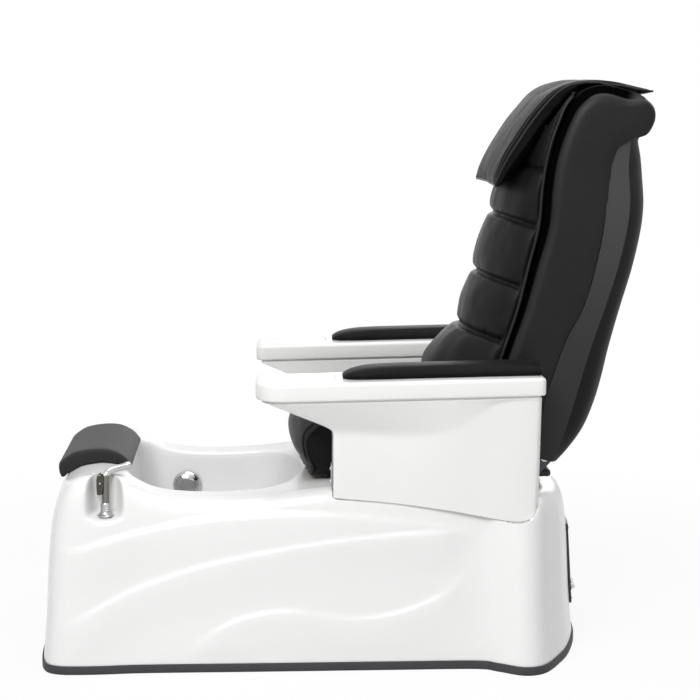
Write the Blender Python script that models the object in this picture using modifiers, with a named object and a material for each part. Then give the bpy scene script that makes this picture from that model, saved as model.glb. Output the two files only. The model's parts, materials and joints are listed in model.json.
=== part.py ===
"""Electric pedicure chair: white base with a foot basin, sliding seat, reclining massage back."""
import math

import bmesh
import bpy
from mathutils import Matrix, Vector

# All sizes are in metres. The front is -Y, the sitter's left is +X, the floor is Z = 0.
# Faces that rest on each other stand GAP apart, a turning or sliding fit has RUN all round.
GAP = 0.0003
RUN = 0.0006

# Base plan on the floor
FRONT_Y = -0.716
REAR_Y = 0.553
FRONT_HALF = 0.362
SIDE_HALF = 0.356
REAR_HALF = 0.4135
BULGE_Y = 0.388
END_SHOULDER = 0.094
SIDE_SHOULDER = 0.054
SHELL_WALL = 0.005

# Heights along the top of the base
HUMP_Y = -0.572
HUMP_Z = 0.447
RIM_Z = 0.394
DECK_Z = 0.413
TAIL_Z = 0.384

# Rubber trim on the floor
TRIM_HEIGHT = 0.020
TRIM_SOLE = 0.005
TRIM_PROUD = 0.0025
TRIM_LIP = 0.012
SHELL_FOOT = TRIM_SOLE + 0.0011

# Foot basin
TUB_HALF = 0.235
TUB_FRONT = -0.485
TUB_REAR = -0.110
TUB_CORNER = 0.055
TUB_FLOOR_Z = 0.130
TUB_WALL = 0.004
TUB_FLANGE = 0.014
DRAIN_Y = -0.235
JET_Y = -0.391
JET_Z = 0.312
JET_SEAT = 0.0031
PUMP_SPACE = 0.037
PUMP_LENGTH = SIDE_HALF - TUB_HALF - PUMP_SPACE

# Opening in the deck under the seat
WELL_HALF = 0.190
WELL_FRONT = -0.050
WELL_REAR = 0.446

# Steel frame inside the base
TUBE = 0.030
BEAM_X = 0.150
BEAM_TOP = 0.3805
RAIL_HEIGHT = 0.015
ROD_Z = 0.340
ROD_R = 0.008

# Control box on the skids
CONTROL_Y = 0.120
CONTROL_DEPTH = 0.120
CONTROL_HALF = 0.090
CONTROL_HEIGHT = 0.060
CONTROL_SHEET = 0.002

# Hand-shower niche in the left front corner
NICHE_Y = -0.553
NICHE_HALF = 0.040
NICHE_X = 0.284
NICHE_LEVEL = 0.790
HANDLE_R = 0.0078
SOCKET_R = 0.0130
LUG_HALF = 0.002
TRIGGER_PIN = 0.0011

# Arm boxes, trays and pads
ARM_INNER = 0.250
ARM_FRONT = -0.040
ARM_REAR = 0.421
ARM_OUT_FRONT = 0.338
ARM_OUT_REAR = 0.372
ARM_FOOT_FRONT = 0.396
ARM_FOOT_REAR = 0.345
ARM_FLARE_Z = 0.548
ARM_NOSE = -0.200
ARM_WALL = 0.004
BRACKET_TOP = 0.471
TRAY_INNER = 0.2445
TRAY_OUTER = 0.415
TRAY_FRONT = -0.213
TRAY_REAR = 0.429
TRAY_FRONT_Z = 0.6255
TRAY_REAR_Z = 0.6375
TRAY_THICK = 0.040
TRAY_CORNER = 0.072
PAD_FRONT = -0.022
PAD_HEIGHT = 0.031
PAD_HALF = 0.056
HINGE_Y = 0.4265
HINGE_DROP = 0.0062

# Foot rest
REST_HALF = 0.172
REST_THICK = 0.031
REST_FRONT = -0.668
REST_REAR = -0.496
PIN_X = 0.110
PIN_R = 0.006

# Seat
SEAT_HALF = 0.224
SEAT_FRONT = -0.137
SEAT_REAR = 0.350
SEAT_RISE = 0.009
SEAT_FOOT = DECK_Z + SEAT_RISE
SEAT_TOP = 0.574
PAN_HALF = 0.180
PAN_THICK = 0.012
CARRIAGE_FRONT = 0.090
CARRIAGE_REAR = 0.430
CHANNEL = 0.025
EAR_X = 0.1815

# Back: the recline axis, the lean of the back and its section
PIVOT_Y = 0.460
PIVOT_Z = 0.455
BACK_LEAN = math.radians(16.0)
BACK_HALF = 0.235
COVER_WALL = 0.040
SHELL_TOP = 0.764
COVER_ROLL = 0.102
COVER_TOP = SHELL_TOP + COVER_ROLL
BRIDGE_RISE = 0.026
COVER_BRIDGE = SHELL_TOP + BRIDGE_RISE
BACK_SHELL_WALL = 0.004
BACKPAD_HALF = 0.220
PILLOW_HALF = 0.194
SPINE_W = -0.060
SHAFT_R = 0.010

# Massage unit, measured along the back
ROLL_REST = 0.225
ROLL_R = 0.030
ROLL_W = -0.122
GUIDE_X = 0.085
GUIDE_R = 0.007
SCREW_R = 0.006

# Rear service cover
PANEL_HALF = 0.115
PANEL_LOW = 0.084
PANEL_HIGH = 0.279
PANEL_THICK = 0.005

# Turns an outline drawn in depth and height into a plate across the chair
SIDEWAYS = Matrix(((0, 0, 1, 0), (1, 0, 0, 0), (0, 1, 0, 0), (0, 0, 0, 1)))


def clear_scene():
    for item in list(bpy.data.objects):
        bpy.data.objects.remove(item, do_unlink=True)


def new_collection(name):
    group = bpy.data.collections.new(name)
    bpy.context.scene.collection.children.link(group)
    return group


def paint(name, colour, roughness, metallic=0.0):
    surface = bpy.data.materials.new(name)
    surface.use_nodes = True
    shader = surface.node_tree.nodes["Principled BSDF"]
    shader.inputs["Base Color"].default_value = (*colour, 1.0)
    shader.inputs["Roughness"].default_value = roughness
    shader.inputs["Metallic"].default_value = metallic
    return surface


def pivot(name, place, lean=0.0):
    empty = bpy.data.objects.new(name, None)
    empty.location = place
    empty.rotation_euler = (lean, 0.0, 0.0)
    empty.empty_display_size = 0.05
    PARTS.objects.link(empty)
    return empty


def add(name, mesh, surface, parent=None):
    item = bpy.data.objects.new(name, mesh)
    mesh.name = name
    mesh.materials.clear()
    mesh.materials.append(surface)
    PARTS.objects.link(item)
    item.parent = parent
    return item


def mesh_of(shape):
    mesh = bpy.data.meshes.new("mesh")
    shape.to_mesh(mesh)
    shape.free()
    return mesh


def cut(item, mesh, operation="DIFFERENCE"):
    tool = bpy.data.objects.new(item.name + "_tool", mesh)
    tool.parent = item.parent
    tool.hide_render = True
    tool.display_type = "WIRE"
    CUTTERS.objects.link(tool)
    step = item.modifiers.new("shape", "BOOLEAN")
    step.operation = operation
    step.solver = "EXACT"
    step.object = tool
    return item


def bevel(item, width, segments=2, angle=40.0):
    step = item.modifiers.new("edges", "BEVEL")
    step.width = width
    step.segments = segments
    step.limit_method = "ANGLE"
    step.angle_limit = math.radians(angle)
    return item


def box(x0, x1, y0, y1, z0, z1):
    shape = bmesh.new()
    bmesh.ops.create_cube(shape, size=1.0)
    size = Matrix.Diagonal((x1 - x0, y1 - y0, z1 - z0, 1.0))
    centre = Matrix.Translation(((x0 + x1) / 2, (y0 + y1) / 2, (z0 + z1) / 2))
    bmesh.ops.transform(shape, matrix=centre @ size, verts=shape.verts)
    return mesh_of(shape)


def rod(start, end, radius, sides=14):
    start = Vector(start)
    along = Vector(end) - start
    shape = bmesh.new()
    bmesh.ops.create_cone(shape, cap_ends=True, segments=sides, radius1=radius, radius2=radius,
                          depth=along.length)
    turn = along.to_track_quat("Z", "Y").to_matrix().to_4x4()
    bmesh.ops.transform(shape, matrix=Matrix.Translation(start + along / 2) @ turn, verts=shape.verts)
    return mesh_of(shape)


def loft(rings, cap_start=True, cap_end=True, outward=True, strips=False):
    """Skin rings of points, all of one length, into one body; strips cap across a long ring."""
    shape = bmesh.new()
    rows = [[shape.verts.new(point) for point in ring] for ring in rings]
    count = len(rows[0])
    for low, high in zip(rows, rows[1:]):
        for i in range(count):
            j = (i + 1) % count
            shape.faces.new((low[i], low[j], high[j], high[i]))
    caps = []
    for row in [list(reversed(rows[0]))] * cap_start + [rows[-1]] * cap_end:
        if strips:
            for i in range(count // 2 - 1):
                shape.faces.new((row[i], row[i + 1], row[count - 2 - i], row[count - 1 - i]))
        else:
            caps.append(shape.faces.new(row))
    bmesh.ops.triangulate(shape, faces=caps)
    if outward:
        bmesh.ops.recalc_face_normals(shape, faces=shape.faces)
    return mesh_of(shape)


def hoop(rings):
    """Skin rings into a closed hoop."""
    shape = bmesh.new()
    rows = [[shape.verts.new(point) for point in ring] for ring in rings]
    count = len(rows[0])
    for k in range(len(rows)):
        low, high = rows[k - 1], rows[k]
        for i in range(count):
            j = (i + 1) % count
            shape.faces.new((low[i], low[j], high[j], high[i]))
    bmesh.ops.recalc_face_normals(shape, faces=shape.faces)
    return mesh_of(shape)


def plate(outline, thickness, place):
    """A flat outline as a filled curve, extruded both ways and turned into a mesh."""
    curve = bpy.data.curves.new("outline", "CURVE")
    curve.dimensions = "2D"
    curve.fill_mode = "BOTH"
    curve.extrude = thickness / 2
    spline = curve.splines.new("POLY")
    spline.points.add(len(outline) - 1)
    for knot, point in zip(spline.points, outline):
        knot.co = (point[0], point[1], 0.0, 1.0)
    spline.use_cyclic_u = True
    return curve_mesh(curve, place)


def tube(points, radius, sides=2):
    """A bent round bar along a path."""
    curve = bpy.data.curves.new("path", "CURVE")
    curve.dimensions = "3D"
    curve.bevel_depth = radius
    curve.bevel_resolution = sides
    curve.use_fill_caps = True
    spline = curve.splines.new("POLY")
    spline.points.add(len(points) - 1)
    for knot, point in zip(spline.points, points):
        knot.co = (*point, 1.0)
    return curve_mesh(curve, Matrix.Identity(4))


def curve_mesh(curve, place):
    holder = bpy.data.objects.new("holder", curve)
    bpy.context.scene.collection.objects.link(holder)
    bpy.context.view_layer.update()
    ready = holder.evaluated_get(bpy.context.evaluated_depsgraph_get())
    mesh = bpy.data.meshes.new_from_object(ready)
    bpy.data.objects.remove(holder, do_unlink=True)
    shape = bmesh.new()
    shape.from_mesh(mesh)
    bmesh.ops.remove_doubles(shape, verts=shape.verts, dist=1e-6)
    bmesh.ops.transform(shape, matrix=place, verts=shape.verts)
    bmesh.ops.recalc_face_normals(shape, faces=shape.faces)
    return mesh_of(shape)


def lathe(name, profile, surface, parent, centre, lean=(0.0, 0.0, 0.0), steps=20):
    """Turn a radius and height profile, listed top to bottom, about the local Z axis."""
    shape = bmesh.new()
    knots = [shape.verts.new((radius, 0.0, height)) for radius, height in profile]
    for first, second in zip(knots, knots[1:]):
        shape.edges.new((first, second))
    item = add(name, mesh_of(shape), surface, parent)
    item.location = centre
    item.rotation_euler = lean
    step = item.modifiers.new("turn", "SCREW")
    step.axis = "Z"
    step.steps = steps
    step.render_steps = steps
    step.use_merge_vertices = True
    step.merge_threshold = 1e-5
    return item


def solidify(item, wall, offset=-1.0):
    step = item.modifiers.new("wall", "SOLIDIFY")
    step.thickness = wall
    step.offset = offset
    step.use_even_offset = False
    return item


def lookup(table, x):
    """Smooth curve through the pairs of a table, flat beyond its ends."""
    if x <= table[0][0]:
        return table[0][1]
    if x >= table[-1][0]:
        return table[-1][1]
    k = max(i for i in range(len(table) - 1) if table[i][0] <= x)
    slopes = []
    for i in (k, k + 1):
        a = table[max(i - 1, 0)]
        b = table[min(i + 1, len(table) - 1)]
        slopes.append((b[1] - a[1]) / (b[0] - a[0]))
    (x0, y0), (x1, y1) = table[k], table[k + 1]
    span = x1 - x0
    t = (x - x0) / span
    return (y0 * (1 + 2 * t) * (1 - t) ** 2 + slopes[0] * span * t * (1 - t) ** 2
            + y1 * t * t * (3 - 2 * t) + slopes[1] * span * t * t * (t - 1))


def spline_through(knots, steps):
    """Points of a Catmull-Rom curve through knots of any dimension."""
    result = []
    last = len(knots) - 1
    for k in range(last):
        quad = [knots[max(k - 1, 0)], knots[k], knots[k + 1], knots[min(k + 2, last)]]
        for step in range(steps):
            t = step / steps
            point = []
            for a, b, c, d in zip(*quad):
                bend = 2 * a - 5 * b + 4 * c - d
                twist = 3 * b - a - 3 * c + d
                point.append(b + 0.5 * t * (c - a + t * (bend + t * twist)))
            result.append(tuple(point))
    result.append(tuple(knots[-1]))
    return result


def rounded(x0, x1, y0, y1, radii, steps=4):
    """Rounded rectangle, counter-clockwise; radii for corners at x1y0, x1y1, x0y1, x0y0."""
    corners = ((x1, y0, -90.0), (x1, y1, 0.0), (x0, y1, 90.0), (x0, y0, 180.0))
    points = []
    for (x, y, first), radius in zip(corners, radii):
        cx = x - radius if x == x1 else x + radius
        cy = y - radius if y == y1 else y + radius
        for k in range(steps + 1):
            angle = math.radians(first + 90.0 * k / steps)
            points.append((cx + radius * math.cos(angle), cy + radius * math.sin(angle)))
    return points


def inset(outline, distance):
    """Outline moved inward along its corner normals."""
    moved = []
    count = len(outline)
    for i, (x, y) in enumerate(outline):
        before = Vector(outline[i - 1])
        after = Vector(outline[(i + 1) % count])
        along = (after - before).normalized()
        moved.append((x - along.y * distance, y + along.x * distance))
    return moved


def divided(outline, longest):
    """Outline with its long edges split."""
    points = []
    for i, (x, y) in enumerate(outline):
        u, v = outline[(i + 1) % len(outline)]
        pieces = max(1, math.ceil(math.hypot(u - x, v - y) / longest))
        points += [(x + (u - x) * k / pieces, y + (v - y) * k / pieces) for k in range(pieces)]
    return points


def mirrored(points, side):
    """Points for the left side (+1) or, mirrored in X, for the right side (-1)."""
    return [(side * p[0], *p[1:]) for p in points]


# Base

def crest(y):
    """Height of the top of the base at a distance along it."""
    hump = HUMP_Z - RIM_Z
    deck = DECK_Z - RIM_Z
    table = [(FRONT_Y, HUMP_Z - 0.020), (HUMP_Y - 0.070, HUMP_Z - 0.010), (HUMP_Y, HUMP_Z),
             (HUMP_Y + 0.045, RIM_Z + 0.90 * hump), (HUMP_Y + 0.085, RIM_Z + 0.56 * hump),
             (HUMP_Y + 0.125, RIM_Z + 0.24 * hump), (HUMP_Y + 0.185, RIM_Z + 0.05 * hump),
             (HUMP_Y + 0.280, RIM_Z), (TUB_REAR - 0.080, RIM_Z + 0.30 * deck),
             (TUB_REAR, RIM_Z + 0.75 * deck), (WELL_FRONT, DECK_Z), (WELL_REAR - 0.100, DECK_Z),
             (WELL_REAR - 0.010, DECK_Z - 0.012), (REAR_Y - 0.070, TAIL_Z + 0.004), (REAR_Y, TAIL_Z)]
    return lookup(table, y)


def base_plan(steps):
    """Half outline from the front centre to the rear centre: floor x, y and top x, y."""
    front_top = FRONT_Y + END_SHOULDER
    rear_top = REAR_Y - END_SHOULDER
    side_top = SIDE_HALF - SIDE_SHOULDER
    knots = [(0.0, FRONT_Y, 0.0, front_top),
             (0.64 * FRONT_HALF, FRONT_Y + 0.008, 0.53 * FRONT_HALF, front_top + 0.002),
             (0.895 * FRONT_HALF, FRONT_Y + 0.022, 0.70 * FRONT_HALF, front_top + 0.006),
             (0.983 * FRONT_HALF, FRONT_Y + 0.052, 0.79 * FRONT_HALF, front_top + 0.012),
             (FRONT_HALF, FRONT_Y + 0.100, FRONT_HALF - SIDE_SHOULDER - 0.008, front_top + 0.022),
             (FRONT_HALF - 0.001, -0.560, FRONT_HALF - SIDE_SHOULDER, -0.556),
             (SIDE_HALF - 0.001, -0.460, side_top, -0.458),
             (SIDE_HALF, -0.200, side_top, -0.200),
             (SIDE_HALF, 0.100, side_top, 0.100),
             (SIDE_HALF + 0.002, 0.285, side_top + 0.002, 0.270),
             (SIDE_HALF + 0.024, BULGE_Y - 0.055, side_top + 0.012, BULGE_Y - 0.060),
             (REAR_HALF, BULGE_Y, REAR_HALF - 0.082, BULGE_Y - 0.030),
             (REAR_HALF - 0.017, BULGE_Y + 0.048, REAR_HALF - 0.100, BULGE_Y + 0.012),
             (REAR_HALF - 0.092, REAR_Y - 0.073, REAR_HALF - 0.175, rear_top - 0.022),
             (0.59 * REAR_HALF, REAR_Y - 0.041, 0.42 * REAR_HALF, rear_top - 0.008),
             (0.30 * REAR_HALF, REAR_Y - 0.011, 0.21 * REAR_HALF, rear_top - 0.002),
             (0.0, REAR_Y, 0.0, rear_top)]
    return spline_through(knots, steps)


def full_ring(half):
    """Close a half ring of points by mirroring it in X."""
    return half + [(-p[0], *p[1:]) for p in reversed(half[1:-1])]


def base_ring(plan, share, level, foot):
    """One level of the base wall: share of the way in to the top outline, level up to the crest."""
    ring = []
    for fx, fy, tx, ty in plan:
        x = fx + (tx - fx) * share
        y = fy + (ty - fy) * share
        ring.append((x, y, foot + level * (crest(y) - foot)))
    return ring


def scoop(ring, level):
    """Press the shower niche into the left side of a ring."""
    if level < NICHE_LEVEL:
        return ring
    pressed = []
    for x, y, z in ring:
        off = abs(y - NICHE_Y) / NICHE_HALF
        if x > 0 and off < 1.0:
            x = min(x, NICHE_X + 0.045 * off ** 2.5)
        pressed.append((x, y, z))
    return pressed


def shell_plan():
    """Stations round the base, closer where it turns and at the niche."""
    dense = base_plan(40)
    spots = [NICHE_Y + NICHE_HALF * 1.02 * k / 4 for k in range(-4, 5)]
    plan = [dense[0]]
    spent = 0.0
    for k in range(1, len(dense) - 1):
        before = Vector(dense[k][:2]) - Vector(dense[k - 1][:2])
        after = Vector(dense[k + 1][:2]) - Vector(dense[k][:2])
        spent += before.length / 0.062 + abs(before.angle_signed(after)) / 0.42
        x, y = dense[k][:2]
        beside = x > 0.3 and abs(y - NICHE_Y) < NICHE_HALF + 0.016
        crossed = any(dense[k - 1][1] < spot <= y for spot in spots)
        if (beside and crossed) or (spent > 1.0 and not beside):
            plan.append(dense[k])
            spent = 0.0
    return plan + [dense[-1]]


BASE_LEVELS = ((0.0, 0.0), (0.12, 0.30), (0.20, 0.66), (0.243, NICHE_LEVEL - 0.010), (0.25, NICHE_LEVEL),
               (0.33, 0.90), (0.46, 0.955), (0.66, 0.985), (1.0, 1.0))


def base_shell():
    half = shell_plan()
    last = len(half) - 1
    shape = bmesh.new()
    rows = []
    for share, level in BASE_LEVELS:
        ring = full_ring(base_ring(half, share, level, SHELL_FOOT))
        rows.append([shape.verts.new(p) for p in scoop(ring, level)])
    count = len(rows[0])
    for low, high in zip(rows, rows[1:]):
        for i in range(count):
            j = (i + 1) % count
            shape.faces.new((low[i], low[j], high[j], high[i]))
    top = rows[-1]
    for i in range(last):
        loop = [top[i], top[i + 1], top[-(i + 1)], top[-i]]
        shape.faces.new(list(dict.fromkeys(loop)))
    item = solidify(add("base_shell", mesh_of(shape), WHITE), SHELL_WALL)
    cut(item, box(-PANEL_HALF + 0.02, PANEL_HALF - 0.02, REAR_Y - 0.10, REAR_Y + 0.05,
                  PANEL_LOW + 0.02, PANEL_HIGH - 0.02))
    cut(item, rod((shower_x(), NICHE_Y, niche_z() - 0.03), (shower_x(), NICHE_Y, niche_z() + 0.03), SOCKET_R))
    for side in (1, -1):
        x = side * PIN_X
        cut(item, rod((x, HUMP_Y, HUMP_Z - 0.06), (x, HUMP_Y, HUMP_Z + 0.05), PIN_R + RUN))
        cut(item, arm_body(side, 0.0012, DECK_Z + 0.03))
    opening = rounded(-TUB_HALF, TUB_HALF, TUB_FRONT, TUB_REAR, [TUB_CORNER] * 4, 5)
    cut(item, loft([[(x, y, z) for x, y in opening] for z in (RIM_Z - 0.05, HUMP_Z + 0.05)]))
    cut(item, box(-WELL_HALF, WELL_HALF, WELL_FRONT, WELL_REAR, DECK_Z - 0.05, DECK_Z + 0.05))
    return item


def niche_z():
    return SHELL_FOOT + NICHE_LEVEL * (crest(NICHE_Y) - SHELL_FOOT)


def shower_x():
    return NICHE_X + 0.024


def floor_trim():
    """Rubber edging with an outer upstand and a sole under the skirt edge."""
    plan = shell_plan()
    section = ((TRIM_LIP, 0.0), (-TRIM_PROUD, 0.0), (-TRIM_PROUD, TRIM_HEIGHT - 0.002),
               (-GAP * 2, TRIM_HEIGHT), (-GAP * 2, TRIM_SOLE), (TRIM_LIP, TRIM_SOLE))
    outline = [(p[0], p[1]) for p in full_ring([(x, y) for x, y, _, _ in plan])]
    rings = []
    for i in range(len(outline)):
        before = Vector(outline[i - 1])
        after = Vector(outline[(i + 1) % len(outline)])
        along = (after - before).normalized()
        x, y = outline[i]
        rings.append([(x - along.y * d, y + along.x * d, z) for d, z in section])
    return add("floor_trim", hoop(rings), RUBBER)


def tub_ring(distance, z_rim, z_floor, share):
    """Basin outline moved inward, at a share of the way from the rim down to the floor."""
    outline = divided(rounded(-TUB_HALF, TUB_HALF, TUB_FRONT, TUB_REAR, [TUB_CORNER] * 4, 4), 0.055)
    return [(x, y, z_rim(y) + (z_floor - z_rim(y)) * share) for x, y in inset(outline, distance)]


def foot_basin():
    def rim(y):
        slope = (crest(y + 0.004) - crest(y - 0.004)) / 0.008
        return crest(y) - (SHELL_WALL + 0.0014) * math.sqrt(1 + slope * slope)

    rings = [tub_ring(-TUB_FLANGE, rim, TUB_FLOOR_Z, 0.0), tub_ring(0.0005, rim, TUB_FLOOR_Z, 0.0),
             tub_ring(0.008, rim, TUB_FLOOR_Z, 0.35), tub_ring(0.018, rim, TUB_FLOOR_Z, 0.75),
             tub_ring(0.030, rim, TUB_FLOOR_Z, 0.92), tub_ring(0.055, rim, TUB_FLOOR_Z, 1.0)]
    item = add("foot_basin", loft(rings, False, True, False), BASIN)
    solidify(item, TUB_WALL)
    cut(item, rod((0.0, DRAIN_Y, TUB_FLOOR_Z - 0.03), (0.0, DRAIN_Y, TUB_FLOOR_Z + 0.03), 0.0216, 20))
    cut(item, rod((-TUB_HALF - 0.05, JET_Y, JET_Z), (-TUB_HALF + 0.05, JET_Y, JET_Z), 0.0252, 20))
    return item


def base_frame():
    """Welded square tube: skids, legs, deck beams, basin supports and arm outriggers."""
    item = add("base_frame", box(BEAM_X - TUBE / 2, BEAM_X + TUBE / 2, -0.620, 0.450, 0.003, TUBE), STEEL)
    half = TUBE / 2
    leg = half - 0.001
    low = BEAM_TOP - TUBE
    shelf = TUB_FLOOR_Z - TUB_WALL - GAP
    cut(item, box(-BEAM_X - half, -BEAM_X + half, -0.620, 0.450, 0.003, TUBE), "UNION")
    for side in (1, -1):
        x = side * BEAM_X
        cut(item, box(x - half, x + half, WELL_FRONT - 0.02, 0.462, low, BEAM_TOP), "UNION")
        for y in (-0.030, 0.400):
            cut(item, box(x - leg, x + leg, y - half, y + half, TUBE - 0.01, low + 0.01), "UNION")
        for y in (TUB_FRONT + 0.075, TUB_REAR - 0.075):
            cut(item, box(x - leg, x + leg, y - leg, y + leg, TUBE - 0.01, shelf - 0.01), "UNION")
    for y in (TUB_FRONT + 0.075, TUB_REAR - 0.075):
        cut(item, box(-BEAM_X - half, BEAM_X + half, y - half, y + half, shelf - TUBE, shelf), "UNION")
    cut(item, box(-BEAM_X - half, BEAM_X + half, 0.432, 0.462, low, BEAM_TOP), "UNION")
    for y, inner in ((ARM_FRONT + 0.090, WELL_HALF + 0.012), (0.397, BEAM_X + half - 0.006)):
        top = min(arm_foot(y + k * 0.006) for k in range(-2, 3)) - GAP * 2
        reach = min(arm_out(y) - 0.016, SIDE_HALF - 0.030)
        for side in (1, -1):
            x = sorted((side * inner, side * reach))
            cut(item, box(x[0], x[1], y - 0.012, y + 0.012, top - 0.016, top), "UNION")
    y = ARM_FRONT + 0.090
    for side in (1, -1):
        x = sorted((side * (BEAM_X + half - 0.005), side * (WELL_HALF + 0.024)))
        cut(item, box(x[0], x[1], y - 0.010, y + 0.010, low + 0.004, low + 0.024), "UNION")
        x = sorted((side * (WELL_HALF + 0.008), side * (WELL_HALF + 0.028)))
        cut(item, box(x[0], x[1], y - 0.011, y + 0.011, low - 0.002, arm_foot(y + 0.012) - 0.004), "UNION")
    return item


def slide_rail(name, side):
    x = side * BEAM_X
    item = add(name, box(x - 0.014, x + 0.014, WELL_FRONT + 0.012, WELL_REAR - 0.006, BEAM_TOP + GAP,
                         BEAM_TOP + GAP + RAIL_HEIGHT), BRIGHT)
    return bevel(item, 0.002, 1)


def slide_actuator():
    """Spindle tube and gear motor, bolted to the rear cross tube of the frame."""
    item = add("slide_actuator", rod((0, 0.170, ROD_Z), (0, 0.370, ROD_Z), 0.018), BLACK_PLASTIC)
    cut(item, box(-0.030, 0.030, 0.362, 0.432 - GAP, ROD_Z - 0.034, ROD_Z + 0.036), "UNION")
    return cut(item, rod((0, 0.150, ROD_Z), (0, 0.358, ROD_Z), ROD_R + RUN))


def control_unit():
    """Power and pump control in a box, on a tray across the skids."""
    low = TUBE + GAP
    high = low + CONTROL_SHEET
    rear = CONTROL_Y + CONTROL_DEPTH
    add("control_tray", box(-BEAM_X, BEAM_X, CONTROL_Y - 0.010, rear + 0.010, low, high), STEEL)
    item = add("control_box", box(-CONTROL_HALF, CONTROL_HALF, CONTROL_Y, rear, high + GAP,
                                  high + GAP + CONTROL_HEIGHT), BLACK_PLASTIC)
    return bevel(item, 0.004, 1)


def water_jet():
    """Pump behind the right basin wall, with its chrome cap and the impeller under the cap."""
    wall = -(TUB_HALF - 0.0075)
    turn = (0.0, math.radians(90.0), 0.0)
    lathe("jet_cap", [(0.0, 0.022), (0.020, 0.021), (0.031, 0.016), (0.036, 0.008), (0.036, JET_SEAT),
                      (0.033, JET_SEAT), (0.033, 0.008), (0.029, 0.0135), (0.019, 0.0182), (0.0, 0.019)],
          CHROME, None, (wall, JET_Y, JET_Z), turn)
    hub = 0.002
    volute = PUMP_LENGTH * 25.0 / 42.0
    neck = PUMP_LENGTH * 2.0 / 3.0
    lathe("pump_body", [(0.0, hub - GAP), (0.005, hub - GAP), (0.005, -0.001), (0.0245, -0.001),
                        (0.0245, -0.012), (0.040, -0.014), (0.040, -volute), (0.028, -neck),
                        (0.028, 0.002 - PUMP_LENGTH), (0.0, -PUMP_LENGTH)],
          BLACK_PLASTIC, None, (wall, JET_Y, JET_Z), turn)
    spin = pivot("jet_axis", (wall, JET_Y, JET_Z))
    item = add("jet_impeller", rod((hub, 0, 0), (0.012, 0, 0), 0.007, 10), BLACK_PLASTIC, spin)
    for k in range(2):
        blade = box(0.003, 0.010, -0.024, 0.024, -0.0015, 0.0015)
        blade.transform(Matrix.Rotation(math.radians(90.0 * k), 4, "X"))
        cut(item, blade, "UNION")


def drain():
    lathe("drain_flange", [(0.0175, 0.0035), (0.024, 0.0035), (0.033, GAP), (0.021, GAP), (0.021, -0.030),
                           (0.0175, -0.030), (0.0175, 0.0035)], CHROME, None, (0, DRAIN_Y, TUB_FLOOR_Z))
    lift = pivot("stopper_axis", (0, DRAIN_Y, TUB_FLOOR_Z))
    lathe("drain_stopper", [(0.0, 0.0085), (0.016, 0.0075), (0.0225, 0.0045), (0.0225, 0.0038),
                            (0.005, 0.0038), (0.005, -0.028), (0.0, -0.028)],
          CHROME, lift, (0, 0, 0))
    z = TUB_FLOOR_Z - 0.030 - GAP
    path = [(0, DRAIN_Y, z), (0, DRAIN_Y, z - 0.022), (0, DRAIN_Y + 0.006, z - 0.031),
            (0, DRAIN_Y + 0.018, z - 0.036), (0, DRAIN_Y + 0.05, z - 0.036), (0, 0.08, z - 0.036)]
    add("drain_pipe", tube(path, 0.019, 2), PVC)


# Rear service cover

def rear_y(x, z):
    """Rear face of the base near its middle."""
    plan = base_plan(6)
    share = lookup([(level, share) for share, level in BASE_LEVELS], z / crest(REAR_Y - 0.05))
    points = sorted((fx + (tx - fx) * share, fy + (ty - fy) * share) for fx, fy, tx, ty in plan
                    if fy > 0.43)
    return lookup(points, abs(x))


def rear_panel():
    def section(x, z0, z1):
        low = [rear_y(x, z) + GAP * 3 for z in (z0, z1)]
        return [(x, low[0], z0), (x, low[0] + PANEL_THICK, z0 + 0.002),
                (x, low[1] + PANEL_THICK, z1 - 0.002), (x, low[1], z1)]

    spots = [PANEL_HALF * k / 5 for k in range(-5, 6)]
    item = add("rear_panel", loft([section(x, PANEL_LOW, PANEL_HIGH) for x in spots]), BLACK_PLASTIC)
    for x, z, w, h in REAR_FITTINGS:
        cut(item, box(x - w / 2, x + w / 2, REAR_Y - 0.05, REAR_Y + 0.03, z - h / 2, z + h / 2))
    for x, z in REAR_PORTS:
        cut(item, rod((x, REAR_Y - 0.06, z), (x, REAR_Y + 0.03, z), 0.0085))
    return item


REAR_FITTINGS = ((-0.060, 0.225, 0.030, 0.024), (-0.020, 0.225, 0.024, 0.018))
REAR_PORTS = ((0.035, 0.118), (0.075, 0.118))


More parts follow.
